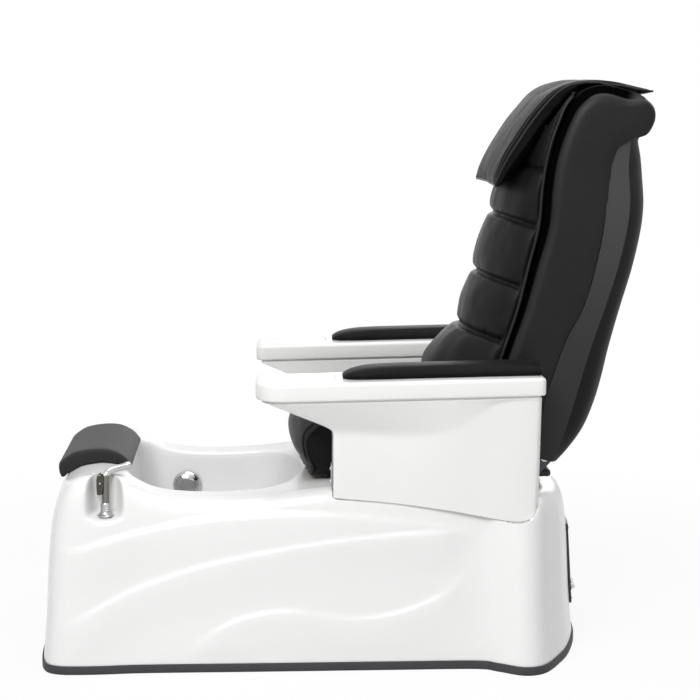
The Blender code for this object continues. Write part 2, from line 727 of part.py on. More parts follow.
def rear_fittings():
    (ix, iz, iw, ih), (sx, sz, sw, sh) = REAR_FITTINGS
    face = rear_y(ix, iz) + GAP * 3 + PANEL_THICK
    item = add("power_inlet", box(ix - iw / 2 + RUN, ix + iw / 2 - RUN, face - 0.030, face + 0.002,
                                  iz - ih / 2 + RUN, iz + ih / 2 - RUN), BLACK_PLASTIC)
    cut(item, box(ix - 0.010, ix + 0.010, face - 0.016, face + 0.02, iz - 0.007, iz + 0.007))
    face = rear_y(sx, sz) + GAP * 3 + PANEL_THICK
    item = add("switch_bezel", box(sx - sw / 2 + RUN, sx + sw / 2 - RUN, face - 0.020, face + 0.001,
                                   sz - sh / 2 + RUN, sz + sh / 2 - RUN), BLACK_PLASTIC)
    cut(item, box(sx - 0.0085, sx + 0.0085, face - 0.012, face + 0.02, sz - 0.0072, sz + 0.0072))
    rock = pivot("switch_axis", (sx, face - 0.004, sz))
    side = [(-0.0052, -0.004), (0.0052, -0.004), (0.0054, 0.0045), (0.0, 0.0056), (-0.0054, 0.0085)]
    place = Matrix(((0, 0, 1, 0), (0, 1, 0, 0), (-1, 0, 0, 0), (0, 0, 0, 1)))
    add("power_switch", plate(side, 0.0155, place), RED_PLASTIC, rock)
    for name, (x, z) in zip(("hot_inlet", "cold_inlet"), REAR_PORTS):
        face = rear_y(x - 0.012, z) + GAP * 5 + PANEL_THICK
        lathe(name, [(0.0045, 0.009), (0.0075, 0.009), (0.0075, 0.003), (0.0110, 0.003), (0.0110, GAP * 3),
                     (0.0080, GAP * 3), (0.0080, -0.040), (0.0045, -0.040), (0.0045, 0.009)],
              BRIGHT, None, (x, face, z), (math.radians(-90.0), 0.0, 0.0), 14)


# Arms

def arm_out(y, high=0.0):
    """Outer face of an arm box: wider toward the rear, and there leaning out to its top."""
    low = lookup([(ARM_FRONT, ARM_OUT_FRONT), (0.10, ARM_OUT_FRONT + 0.004), (0.26, ARM_OUT_REAR - 0.018),
                  (0.36, ARM_OUT_REAR - 0.003), (ARM_REAR, ARM_OUT_REAR)], y)
    full = TRAY_OUTER - ARM_OUT_REAR
    lean = lookup([(ARM_FRONT, 0.006), (0.10, 0.010), (0.26, 0.034), (0.34, full - 0.008),
                   (ARM_REAR, full - 0.010)], y)
    return low + lean * high


def arm_foot(y):
    """Lower edge of an arm box, falling toward the rear."""
    return lookup([(ARM_FRONT, ARM_FOOT_FRONT), (0.10, ARM_FOOT_FRONT - 0.013),
                   (0.22, ARM_FOOT_FRONT - 0.029), (0.36, ARM_FOOT_REAR), (0.395, ARM_FOOT_REAR + 0.003),
                   (0.412, ARM_FOOT_REAR + 0.018), (ARM_REAR, ARM_FOOT_REAR + 0.050)], y)


def tray_low(y):
    """Under face of a tray, rising gently toward the rear."""
    return TRAY_FRONT_Z + (TRAY_REAR_Z - TRAY_FRONT_Z) * (y - TRAY_FRONT) / (TRAY_REAR - TRAY_FRONT)


def arm_waist(y):
    """Line where the upright face of an arm box turns out into the flare below the tray."""
    high = tray_low(y) - 0.012
    return lookup([(ARM_FRONT, ARM_FLARE_Z + 0.004), (0.10, ARM_FLARE_Z - 0.005), (0.19, ARM_FLARE_Z),
                   (0.24, ARM_FLARE_Z + 0.015), (0.29, ARM_FLARE_Z + 0.05), (0.34, high), (0.40, high)], y)


ARM_STATIONS = (ARM_FRONT, 0.03, 0.10, 0.17, 0.22, 0.26, 0.30, 0.34, 0.38, 0.402, 0.414, ARM_REAR)


def arm_rings(side, grow, top):
    """Rings of an arm box from its foot to its top; with a fixed top only the upright part."""
    rings = [[], [], [], []]
    for k, y in enumerate(ARM_STATIONS + tuple(reversed(ARM_STATIONS))):
        outer = k < len(ARM_STATIONS)
        end = grow if y == ARM_REAR else -grow if y == ARM_FRONT else 0.0
        nose = ARM_NOSE + (ARM_REAR - ARM_NOSE) * (y - ARM_FRONT) / (ARM_REAR - ARM_FRONT)
        inner = ARM_INNER - grow
        reach = TRAY_OUTER - 0.007 if outer else ARM_INNER
        waist = arm_waist(y) if top is None else top
        rings[0].append((arm_out(y) + grow if outer else inner, y + end, arm_foot(y) - grow))
        rings[1].append((arm_out(y, 1.0) + grow if outer else inner, y + end, waist))
        rings[2].append((reach, nose, tray_low(nose) - 0.006))
        rings[3].append((reach, nose, tray_low(nose) - GAP))
    if top is not None:
        rings = rings[:2]
    return [mirrored(ring, side) for ring in rings]


def arm_body(side, grow, top):
    return loft(arm_rings(side, grow, top), strips=True)


def arm_box(name, side):
    """Hollow moulding, open below, closed on top under the tray."""
    rings = arm_rings(side, 0.0, None)
    if side < 0:
        rings = [list(reversed(ring)) for ring in rings]
    item = add(name, loft(rings, False, True, False, True), WHITE)
    return solidify(item, ARM_WALL)


def arm_bracket(name, side):
    """Steel angle that ties the foot of an arm box to the deck."""
    y = ARM_FRONT - GAP * 3
    x = sorted((side * (ARM_OUT_FRONT - 0.034), side * (ARM_OUT_FRONT - 0.004)))
    return add(name, box(x[0], x[1], y - 0.004, y, crest(y - 0.008) + 0.0075, BRACKET_TOP), BRIGHT)


def arm_hinge(name, side):
    """Barrel and fixed leaf at the rear of an arm box."""
    z = tray_low(HINGE_Y) - HINGE_DROP
    x = sorted((side * (ARM_INNER + 0.030), side * (ARM_OUT_REAR - 0.030)))
    item = add(name, rod((x[0], HINGE_Y, z), (x[1], HINGE_Y, z), 0.0045, 10), BRIGHT)
    cut(item, box(x[0], x[1], ARM_REAR + GAP, HINGE_Y - 0.002, z - 0.030, z), "UNION")
    return item


def arm_tray(name, side, swing):
    """Flat tray with a large outer front corner."""
    base = tray_low(HINGE_Y) - HINGE_DROP
    plan = rounded(TRAY_INNER, TRAY_OUTER, TRAY_FRONT, TRAY_REAR, [TRAY_CORNER, 0.012, 0.012, 0.018], 4)
    rings = []
    for distance, height in ((0.0015, 0.0), (0.0, 0.002), (0.0, TRAY_THICK - 0.005),
                             (0.0015, TRAY_THICK - 0.0015), (0.005, TRAY_THICK)):
        ring = [(x, y - HINGE_Y, tray_low(y) + height - base) for x, y in inset(plan, distance)]
        rings.append(mirrored(ring, side))
    return add(name, loft(rings), WHITE, swing)


def arm_pad(name, side, swing):
    """Domed arm rest, tapered at the front."""
    base = tray_low(HINGE_Y) - HINGE_DROP
    middle = (TRAY_INNER + TRAY_OUTER) / 2
    rear = TRAY_REAR - 0.002
    rings = []
    for share, wide, high in ((0.0, 0.45, 0.22), (0.025, 0.72, 0.52), (0.07, 0.90, 0.78), (0.16, 1.0, 0.95),
                              (0.40, 1.0, 1.0), (0.70, 1.0, 1.0), (0.95, 1.0, 1.0), (0.99, 0.98, 0.95),
                              (1.0, 0.95, 0.85)):
        y = PAD_FRONT + (rear - PAD_FRONT) * share
        z = tray_low(y) + TRAY_THICK + GAP - base
        ring = []
        for step in range(11):
            angle = math.pi * step / 10
            x = PAD_HALF * wide * math.copysign(abs(math.cos(angle)) ** 0.75, math.cos(angle))
            rise = PAD_HEIGHT * high * (0.12 + 0.88 * math.sin(angle) ** 0.7)
            ring.append((middle + x, y - HINGE_Y, z + rise))
        ring.append((middle - PAD_HALF * wide * 0.96, y - HINGE_Y, z))
        ring.append((middle + PAD_HALF * wide * 0.96, y - HINGE_Y, z))
        rings.append(mirrored(ring, side))
    return add(name, loft(rings), LEATHER, swing)


# Foot rest

def foot_rest(lift):
    """Arched pad over the front rim: crescent sections across its width."""
    rings = []
    top = [(REST_FRONT + 0.004, 0.010), (REST_FRONT + 0.012, 0.021), (REST_FRONT + 0.040, 0.029),
           (HUMP_Y - 0.030, REST_THICK + 0.001), (HUMP_Y + 0.006, REST_THICK + 0.001),
           (REST_REAR - 0.045, 0.0285), (REST_REAR - 0.018, 0.023), (REST_REAR - 0.003, 0.012)]
    under = [(REST_REAR - 0.002, 0.0035), (REST_REAR - 0.022, 0.0040), (HUMP_Y + 0.036, 0.0045),
             (HUMP_Y + 0.015, 0.0058), (HUMP_Y - 0.015, 0.0058), (HUMP_Y - 0.036, 0.0045),
             (REST_FRONT + 0.006, 0.0030)]
    for share, inward in ((-1.0, 0.011), (-0.975, 0.004), (-0.92, 0.0), (-0.5, 0.0), (0.0, -0.001),
                          (0.5, 0.0), (0.92, 0.0), (0.975, 0.004), (1.0, 0.011)):
        ring = []
        for y, rise in top:
            pull = inward * (1.0 if HUMP_Y - 0.04 < y < HUMP_Y + 0.05 else 0.6)
            ring.append((REST_HALF * share, y, rest_seat(y) + max(rise - pull, 0.0065)))
        for y, rise in under:
            ring.append((REST_HALF * share, y, rest_seat(y) + rise))
        rings.append([(x, y - HUMP_Y, z - HUMP_Z) for x, y, z in ring])
    return add("footrest_pad", loft(rings), GREY_LEATHER, lift)


def rest_seat(y):
    """Top of the base under the foot rest, with the rounded front edge."""
    share = min(max((y - FRONT_Y) / END_SHOULDER, 0.6), 1.0)
    return crest(y) * lookup(BASE_LEVELS, share)


def foot_rest_bracket(lift):
    """Flat bar under the pad with two pins that drop into the rim."""
    z = 0.0006
    item = add("footrest_bracket", box(-0.140, 0.140, -0.014, 0.014, z, z + 0.004), BRIGHT, lift)
    for side in (1, -1):
        cut(item, rod((side * PIN_X, 0, z - 0.085), (side * PIN_X, 0, z + 0.002), PIN_R), "UNION")
    return item


# Hand shower

def hand_shower():
    x, y, z = shower_x(), NICHE_Y, niche_z()
    bore = HANDLE_R + RUN
    outer = SOCKET_R - RUN
    lathe("shower_socket", [(bore, 0.010), (outer - 0.001, 0.010), (outer, 0.004), (0.0190, 0.0035),
                            (0.0195, GAP), (outer, GAP), (outer, -0.024), (bore, -0.024), (bore, 0.010)],
          CHROME, None, (x, y, z), steps=18)
    lift = pivot("shower_axis", (x, y, z))
    path = [(0, 0, -0.020), (0, 0, 0.030), (0, 0, 0.082), (-0.002, 0.002, 0.094), (-0.010, 0.006, 0.102),
            (-0.024, 0.014, 0.106), (-0.052, 0.031, 0.109)]
    item = add("shower_handle", tube(path, HANDLE_R, 3), CHROME, lift)
    cut(item, rod((0, 0, 0.010 + GAP), (0, 0, 0.030), 0.0115, 12), "UNION")
    pin_y = -HANDLE_R - 0.0035
    pin_z = 0.076
    lug = box(-LUG_HALF, LUG_HALF, pin_y - 0.002, -HANDLE_R + 0.003, pin_z - 0.002, pin_z + 0.002)
    cut(item, lug, "UNION")
    cut(item, rod((-0.0055, pin_y, pin_z), (0.0055, pin_y, pin_z), TRIGGER_PIN, 10), "UNION")
    press = pivot("trigger_axis", (0, pin_y, pin_z))
    press.parent = lift
    side = [(-0.0035, 0.005), (0.0020, 0.005), (0.0020, -0.004), (-0.0010, -0.014), (-0.0045, -0.040),
            (-0.0080, -0.039), (-0.0060, -0.012)]
    item = add("shower_trigger", plate(side, 0.012, SIDEWAYS), CHROME, press)
    slot = LUG_HALF + GAP
    cut(item, box(-slot, slot, -0.0030, 0.010, -0.0032, 0.010))
    cut(item, rod((-0.010, 0, 0), (0.010, 0, 0), TRIGGER_PIN + GAP, 10))


# Seat

def seat_carriage(slide):
    z0 = BEAM_TOP + GAP + RAIL_HEIGHT + GAP
    z1 = z0 + CHANNEL
    half = CHANNEL / 2
    item = add("seat_carriage", box(BEAM_X - half, BEAM_X + half, CARRIAGE_FRONT, CARRIAGE_REAR, z0, z1),
               STEEL, slide)
    cut(item, box(-BEAM_X - half, -BEAM_X + half, CARRIAGE_FRONT, CARRIAGE_REAR, z0, z1), "UNION")
    cut(item, box(-BEAM_X, BEAM_X, CARRIAGE_FRONT, CARRIAGE_FRONT + CHANNEL, z0, z1), "UNION")
    heel = CARRIAGE_REAR - 0.034
    cut(item, box(-EAR_X - 0.003, EAR_X + 0.003, heel, heel + CHANNEL - 0.001, z0, z1), "UNION")
    ear = [(heel, z0), (CARRIAGE_REAR, z0), (PIVOT_Y + 0.014, PIVOT_Z - 0.012), (PIVOT_Y + 0.018, PIVOT_Z),
           (PIVOT_Y + 0.012, PIVOT_Z + 0.014), (PIVOT_Y, PIVOT_Z + 0.019), (PIVOT_Y - 0.016, PIVOT_Z + 0.012),
           (heel, z1)]
    for side in (1, -1):
        cut(item, plate(ear, 0.006, Matrix.Translation((side * EAR_X, 0, 0)) @ SIDEWAYS), "UNION")
    tab = CARRIAGE_FRONT + 0.004
    cut(item, box(-0.014, 0.014, tab, tab + 0.008, ROD_Z - 0.014, z0 + 0.01), "UNION")
    cut(item, rod((-0.22, PIVOT_Y, PIVOT_Z), (0.22, PIVOT_Y, PIVOT_Z), SHAFT_R + RUN, 18))
    return item


def pan_z():
    return BEAM_TOP + RAIL_HEIGHT + CHANNEL + GAP * 3


def seat_pan(slide):
    z = pan_z()
    item = add("seat_pan", box(-PAN_HALF, PAN_HALF, SEAT_FRONT + 0.050, SEAT_REAR - 0.020, z, z + PAN_THICK),
               WOOD, slide)
    return item


def seat_profile(reach):
    """Side section of the seat cushion; reach is 0 at the middle and 1 at the side."""
    back = 0.040 * reach ** 2
    drop = 0.016 * reach ** 2
    top = SEAT_TOP - drop
    nose = SEAT_FRONT + back
    return [(SEAT_REAR - 0.004, SEAT_FOOT), (0.16, SEAT_FOOT), (SEAT_FRONT + 0.070, SEAT_FOOT),
            (nose + 0.034, SEAT_FOOT + 0.010), (nose + 0.010, SEAT_FOOT + 0.034), (nose, SEAT_FOOT + 0.066),
            (nose + 0.001, SEAT_FOOT + 0.092), (nose + 0.016, top - 0.030), (nose + 0.050, top - 0.010),
            (nose + 0.110, top - 0.002), (0.12, top + 0.002), (0.24, top - 0.004),
            (SEAT_REAR - 0.020, top - 0.014), (SEAT_REAR, top - 0.050), (SEAT_REAR, SEAT_FOOT + 0.030)]


def seat_cushion(slide):
    rings = []
    for share, pinch in ((-1.0, 0.012), (-0.985, 0.004), (-0.9, 0.0), (-0.6, 0.0), (-0.2, 0.0), (0.2, 0.0),
                         (0.6, 0.0), (0.9, 0.0), (0.985, 0.004), (1.0, 0.012)):
        profile = seat_profile(abs(share))
        ring = []
        for y, z in profile:
            y += pinch if y < 0 else -pinch * 0.5
            z -= pinch if z > SEAT_FOOT + 0.1 else 0.0
            ring.append((SEAT_HALF * share, y, z))
        rings.append(ring)
    item = add("seat_cushion", loft(rings), LEATHER, slide)
    top = pan_z() + PAN_THICK + GAP
    cut(item, box(-PAN_HALF - GAP, PAN_HALF + GAP, SEAT_FRONT + 0.050 - GAP, SEAT_REAR + 0.05, 0.38, top))
    return item


def hinge_cover(slide):
    block = box(-0.170, 0.170, CARRIAGE_REAR + GAP, 0.478, SEAT_FOOT - 0.0168, SEAT_FOOT - 0.0005)
    item = add("hinge_cover", block, BLACK_PLASTIC, slide)
    return bevel(item, 0.006, 2)


def actuator_rod(slide):
    bar = rod((0, CARRIAGE_FRONT + 0.012 + GAP, ROD_Z), (0, 0.345, ROD_Z), ROD_R)
    return add("actuator_rod", bar, BRIGHT, slide)


def recline_motor(slide):
    """Gear motor on the carriage, driving the recline shaft."""
    z = pan_z() + GAP
    item = add("recline_motor", box(-0.040, 0.040, 0.398, 0.479, z, PIVOT_Z + 0.020), BLACK_PLASTIC, slide)
    cut(item, rod((-0.095, 0.415, z + 0.017), (-0.035, 0.415, z + 0.017), 0.016), "UNION")
    return cut(item, rod((-0.06, PIVOT_Y, PIVOT_Z), (0.06, PIVOT_Y, PIVOT_Z), SHAFT_R + RUN, 18))


# Back, in its own frame: Y to the rear, Z up along the back, the origin on the recline axis

EDGE_LINE = [(0.05, -0.165), (0.20, -0.165), (0.32, -0.161), (0.42, -0.165), (0.52, -0.1695),
             (0.60, -0.186), (0.68, -0.1955), (0.765, -0.192), (0.82, -0.178), (0.845, -0.163)]
BORDER_LINE = [(0.0, -0.018), (0.06, -0.036), (0.126, -0.0470), (0.20, -0.0455), (0.286, -0.040),
               (0.354, -0.0255), (0.41, -0.0220), (0.474, -0.0244), (0.548, -0.0312), (0.614, -0.0451),
               (0.67, -0.058), (0.71, -0.0625), (0.764, -0.052)]
CREASE_LINE = [(0.0, 0.012), (0.055, 0.0195), (0.154, 0.0215), (0.275, 0.0215), (0.397, 0.0267),
               (0.4875, 0.0272), (0.574, 0.0206), (0.63, 0.0088), (0.70, -0.016), (0.764, -0.030)]
REAR_LINE = [(0.0, 0.046), (0.027, 0.066), (0.081, 0.090), (0.142, 0.099), (0.204, 0.0995),
             (0.289, 0.094), (0.388, 0.0915), (0.475, 0.0917), (0.566, 0.0855), (0.629, 0.0736),
             (0.683, 0.054), (0.73, 0.034), (0.764, 0.014)]
BACK_LEVELS = (0.0, 0.027, 0.07, 0.13, 0.20, 0.29, SHELL_TOP - 0.384, SHELL_TOP - 0.294, SHELL_TOP - 0.204,
               SHELL_TOP - 0.134, SHELL_TOP - 0.084, SHELL_TOP - 0.039, SHELL_TOP)


def back_cover(back):
    """Side and top upholstery: one profile across the full width, hollowed for the mechanism."""
    low, high = 0.155, COVER_TOP - 0.063
    levels = [low + (high - low) * k / 20 for k in range(21)]
    front = [(lookup(EDGE_LINE, u), u) for u in levels]
    front += [(-0.158, COVER_TOP - 0.024), (-0.120, COVER_TOP - 0.004)]
    roof = [(-0.065, COVER_TOP), (-0.034, COVER_TOP - 0.001), (-0.010, COVER_TOP - 0.010),
            (0.005, COVER_TOP - 0.025), (0.0115, COVER_TOP - 0.044), (0.0110, COVER_TOP - 0.064),
            (0.005, SHELL_TOP + 0.020), (-0.006, SHELL_TOP + 0.010), (-0.026, SHELL_TOP + 0.0075),
            (-0.046, SHELL_TOP + 0.0045)]
    rear = [(lookup(BORDER_LINE, u) - GAP, u) for u in reversed(BACK_LEVELS[1:])]
    foot = [(-0.040, 0.005), (-0.150, 0.140)]
    profile = front + roof + rear + foot
    item = add("back_cover", plate(profile, BACK_HALF * 2, SIDEWAYS), LEATHER, back)
    bevel(item, 0.014, 2, 60.0)
    inner = BACK_HALF - COVER_WALL
    return cut(item, box(-inner, inner, -0.4, 0.3, -0.2, COVER_BRIDGE))


def back_shell(back):
    """Rear moulding: flat side strips, a crease and a rounded rear."""
    rings = []
    for u in BACK_LEVELS:
        border = lookup(BORDER_LINE, u) + GAP * 3
        crease = max(lookup(CREASE_LINE, u), border + 0.006)
        rear = max(lookup(REAR_LINE, u), crease + 0.02)
        depth = rear - crease
        half = [(BACK_HALF - 0.001, border), (BACK_HALF - 0.010, crease), (0.185, crease + 0.50 * depth),
                (0.130, crease + 0.80 * depth), (0.065, crease + 0.955 * depth), (0.0, rear)]
        ring = half + [(-x, w) for x, w in reversed(half[:-1])]
        rings.append([(x, w, u) for x, w in ring])
    shape = bmesh.new()
    rows = [[shape.verts.new(p) for p in ring] for ring in rings]
    for low, high in zip(rows, rows[1:]):
        for i in range(len(low) - 1):
            shape.faces.new((low[i], low[i + 1], high[i + 1], high[i]))
    item = add("back_shell", mesh_of(shape), SHELL_GREY, back)
    return solidify(item, BACK_SHELL_WALL)


PAD_CROWN = [(0.03, -0.300), (0.07, -0.313), (0.115, -0.314), (0.17, -0.293), (0.225, -0.268),
             (0.262, -0.263), (0.30, -0.2645), (0.345, -0.262), (0.43, -0.263), (0.48, -0.262),
             (0.54, -0.2625), (0.58, -0.259), (0.62, -0.250), (0.66, -0.236), (0.70, -0.221),
             (0.75, -0.201), (0.80, -0.182), (0.83, -0.169)]
PAD_SEAMS = (0.2372, 0.368, 0.5124, 0.640)
PAD_CLEAR = 0.131


def pad_level(w, u):
    """Height along the back, raised near the bottom so that the pad clears the seat."""
    floor = (PAD_CLEAR + math.sin(BACK_LEAN) * w) / math.cos(BACK_LEAN)
    return max(u, floor + 0.75 * u)


def back_pad(back):
    """Front pad with a deep crown and cross channels."""
    levels = [0.0, 0.030, 0.070, 0.115, 0.165, 0.205]
    for seam, upper in zip(PAD_SEAMS, PAD_SEAMS[1:] + (0.800,)):
        gap = upper - seam
        levels += [seam - 0.010, seam, seam + 0.010, seam + 0.35 * gap, seam + 0.65 * gap]
    levels += [0.790, 0.822, 0.834]
    levels = sorted(set(round(u, 4) for u in levels))
    rings = []
    for u in levels:
        near = min(abs(u - seam) for seam in PAD_SEAMS)
        groove = 0.012 if near < 0.001 else 0.0
        end = {0.0: 0.55, 0.03: 0.9, 0.834: 0.35, 0.822: 0.8}.get(u, 1.0)
        edge = lookup(EDGE_LINE, u) - GAP * 2
        crown = lookup(PAD_CROWN, u) + groove
        side = edge - 0.012 * end
        half = BACKPAD_HALF - (0.004 if groove else 0.0) - (1 - end) * 0.012
        ring = []
        for k in range(13):
            s = -1.0 + k / 6
            bow = (1 - abs(s) ** 2.4) * end
            ring.append((half * s, side + (crown - side) * bow))
        ring = [(x, w, pad_level(w, u)) for x, w in ring]
        rear = pad_level(edge, u)
        edge = lookup(EDGE_LINE, rear) - 0.0010
        ring += [(half * s, edge, rear) for s in (1.0, 0.4, -0.4, -1.0)]
        rings.append(ring)
    return add("back_pad", loft(rings), LEATHER, back)


def head_pillow(back):
    """Pillow in front of the pad with a strap over the top of the back."""
    face = [(-0.2920, 0.577), (-0.2965, 0.602), (-0.2900, 0.650), (-0.2780, 0.695), (-0.2600, 0.750),
            (-0.2340, 0.806), (-0.2090, 0.834), (-0.1760, 0.854), (-0.1350, 0.8680), (-0.0950, 0.8760),
            (-0.0580, 0.8785), (-0.0020, 0.8800)]
    top = COVER_TOP + GAP * 1.5
    under = [(0.001, 0.8765), (-0.030, top + 0.001), (-0.060, top), (-0.100, top), (-0.150, 0.857),
             (-0.182, 0.835), (-0.203, 0.795), (-0.227, 0.738), (-0.249, 0.676), (-0.270, 0.615),
             (-0.280, 0.578), (-0.287, 0.570)]
    seats = list(reversed(under)) + under
    rings = []
    for share, pull in ((-1.0, 0.42), (-0.975, 0.78), (-0.90, 0.92), (-0.5, 1.0), (0.0, 1.06),
                        (0.5, 1.0), (0.90, 0.92), (0.975, 0.78), (1.0, 0.42)):
        ring = []
        for (w, u), (seat_w, seat_u) in zip(face + under, seats):
            ring.append((PILLOW_HALF * share, seat_w + (w - seat_w) * pull, seat_u + (u - seat_u) * pull))
        rings.append(ring)
    return add("head_pillow", loft(rings), LEATHER, back)


def back_frame(back):
    """Two bent uprights with lugs on the shaft, and two cross tubes that carry the rails."""
    path = [(0, 0.010), (-0.012, 0.040), (-0.040, 0.095), (SPINE_W, 0.135), (SPINE_W, 0.30), (SPINE_W, 0.745)]
    item = add("back_frame", tube([(0.160, w, u) for w, u in path], 0.011), STEEL, back)
    cut(item, tube([(-0.160, w, u) for w, u in path], 0.011), "UNION")
    reach = BACK_HALF - COVER_WALL - GAP
    for u in (0.120, 0.740):
        cut(item, rod((-reach, SPINE_W, u), (reach, SPINE_W, u), 0.0112, 12), "UNION")
    for side in (1, -1):
        cut(item, rod((side * 0.150, 0, 0), (side * 0.170, 0, 0), 0.021, 16), "UNION")
    return cut(item, rod((-0.20, 0, 0), (0.20, 0, 0), SHAFT_R + GAP, 18))


def recline_shaft(back):
    return add("recline_shaft", rod((-0.189, 0, 0), (0.189, 0, 0), SHAFT_R, 18), BRIGHT, back)


def massage_guides(back):
    low = 0.120 + 0.0112 + GAP
    high = 0.740 - 0.0112 - GAP
    for name, x in (("roller_rail_left", GUIDE_X), ("roller_rail_right", -GUIDE_X)):
        add(name, rod((x, SPINE_W, low), (x, SPINE_W, high), GUIDE_R, 12), BRIGHT, back)
    add("lead_screw", rod((0, SPINE_W, low), (0, SPINE_W, high), SCREW_R, 12), BRIGHT, back)
    item = add("roller_motor", box(-0.032, 0.032, -0.080, -0.030, 0.035, 0.1085), BLACK_PLASTIC, back)
    bevel(item, 0.004, 1)


def massage_carriage(climb):
    """Block on the rails with two cheeks that carry the roller axles."""
    item = add("roller_carriage", box(-0.105, 0.105, -0.024, 0.022, -0.050, 0.050), BLACK_PLASTIC, climb)
    reach = ROLL_W - SPINE_W
    for side in (1, -1):
        x = sorted((side * 0.050, side * 0.058))
        cut(item, box(x[0], x[1], reach - 0.012, -0.020, -0.062, 0.062), "UNION")
        cut(item, rod((side * GUIDE_X, 0, -0.09), (side * GUIDE_X, 0, 0.09), GUIDE_R + GAP, 12))
    cut(item, rod((0, 0, -0.09), (0, 0, 0.09), SCREW_R + GAP, 12))
    for u in (-0.045, 0.045):
        cut(item, rod((-0.08, reach, u), (0.08, reach, u), 0.006 + RUN, 14))
    return item


def massage_roller(name, climb, u):
    """One axle with a rounded wheel at each end, turned about X."""
    spin = pivot(name + "_axis", (0, ROLL_W - SPINE_W, u))
    spin.parent = climb
    half = [(0.0, 0.112), (0.010, 0.112), (0.022, 0.108), (ROLL_R, 0.098), (ROLL_R, 0.078), (0.022, 0.068),
            (0.012, 0.064), (0.006, 0.062)]
    profile = half + [(r, -x) for r, x in reversed(half)]
    return lathe(name, profile, RUBBER, spin, (0, 0, 0), (0.0, math.radians(90.0), 0.0), 14)


def build():
    base_shell()
    floor_trim()
    foot_basin()
    base_frame()
    slide_rail("slide_rail_left", 1)
    slide_rail("slide_rail_right", -1)
    slide_actuator()
    control_unit()
    water_jet()
    drain()
    rear_panel()
    rear_fittings()
    for word, side in (("left", 1), ("right", -1)):
        arm_box("arm_box_" + word, side)
        arm_bracket("arm_bracket_" + word, side)
        arm_hinge("arm_hinge_" + word, side)
        swing = pivot("arm_pivot_" + word, (0, HINGE_Y, tray_low(HINGE_Y) - HINGE_DROP))
        arm_tray("arm_tray_" + word, side, swing)
        arm_pad("arm_pad_" + word, side, swing)
    lift = pivot("footrest_axis", (0, HUMP_Y, HUMP_Z))
    foot_rest(lift)
    foot_rest_bracket(lift)
    hand_shower()
    slide = pivot("seat_slide", (0, 0, 0))
    seat_carriage(slide)
    seat_pan(slide)
    seat_cushion(slide)
    hinge_cover(slide)
    actuator_rod(slide)
    recline_motor(slide)
    back = pivot("back_pivot", (0, PIVOT_Y, PIVOT_Z), -BACK_LEAN)
    back.parent = slide
    back_frame(back)
    recline_shaft(back)
    back_shell(back)
    back_cover(back)
    back_pad(back)
    head_pillow(back)
    massage_guides(back)
    climb = pivot("massage_climb", (0, SPINE_W, ROLL_REST))
    climb.parent = back
    massage_carriage(climb)
    massage_roller("roller_lower", climb, -0.045)
    massage_roller("roller_upper", climb, 0.045)


clear_scene()
PARTS = new_collection("electric_pedicure_chair")
CUTTERS = new_collection("cutters")
WHITE = paint("gloss_white", (0.90, 0.90, 0.89), 0.18)
BASIN = paint("basin_white", (0.90, 0.90, 0.90), 0.15)
RUBBER = paint("trim_rubber", (0.06, 0.06, 0.065), 0.6)
LEATHER = paint("black_leather", (0.022, 0.022, 0.024), 0.45)
GREY_LEATHER = paint("grey_leather", (0.13, 0.13, 0.135), 0.5)
SHELL_GREY = paint("shell_grey", (0.035, 0.036, 0.04), 0.4)
BLACK_PLASTIC = paint("black_plastic", (0.02, 0.02, 0.022), 0.4)
RED_PLASTIC = paint("switch_red", (0.45, 0.02, 0.02), 0.3)
CHROME = paint("chrome", (0.80, 0.80, 0.82), 0.08, 1.0)
STEEL = paint("frame_steel", (0.10, 0.10, 0.11), 0.5, 0.6)
BRIGHT = paint("bright_steel", (0.62, 0.62, 0.64), 0.3, 1.0)
WOOD = paint("seat_board", (0.42, 0.28, 0.15), 0.6)
PVC = paint("pipe_white", (0.75, 0.75, 0.74), 0.4)
build()
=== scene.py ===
import json
import math

import bmesh
import bpy
import numpy as np
from mathutils import Matrix, Vector, noise
from mathutils.bvhtree import BVHTree


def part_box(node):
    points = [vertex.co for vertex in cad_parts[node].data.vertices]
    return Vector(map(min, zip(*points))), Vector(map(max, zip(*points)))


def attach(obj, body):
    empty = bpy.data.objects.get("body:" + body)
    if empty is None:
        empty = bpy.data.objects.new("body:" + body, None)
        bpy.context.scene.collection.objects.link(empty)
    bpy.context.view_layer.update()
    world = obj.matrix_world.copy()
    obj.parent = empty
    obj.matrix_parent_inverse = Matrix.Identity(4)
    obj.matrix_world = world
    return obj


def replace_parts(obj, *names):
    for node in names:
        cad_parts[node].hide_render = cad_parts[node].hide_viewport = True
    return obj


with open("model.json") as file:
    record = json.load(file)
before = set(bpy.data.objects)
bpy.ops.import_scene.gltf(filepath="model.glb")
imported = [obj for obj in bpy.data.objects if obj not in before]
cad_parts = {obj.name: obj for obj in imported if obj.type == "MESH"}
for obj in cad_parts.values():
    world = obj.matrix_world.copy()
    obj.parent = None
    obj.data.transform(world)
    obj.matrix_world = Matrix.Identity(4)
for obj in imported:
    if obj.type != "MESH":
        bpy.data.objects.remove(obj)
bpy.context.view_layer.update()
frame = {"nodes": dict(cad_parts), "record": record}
scene = bpy.context.scene
print("frame loaded:", len(frame["nodes"]), "nodes")


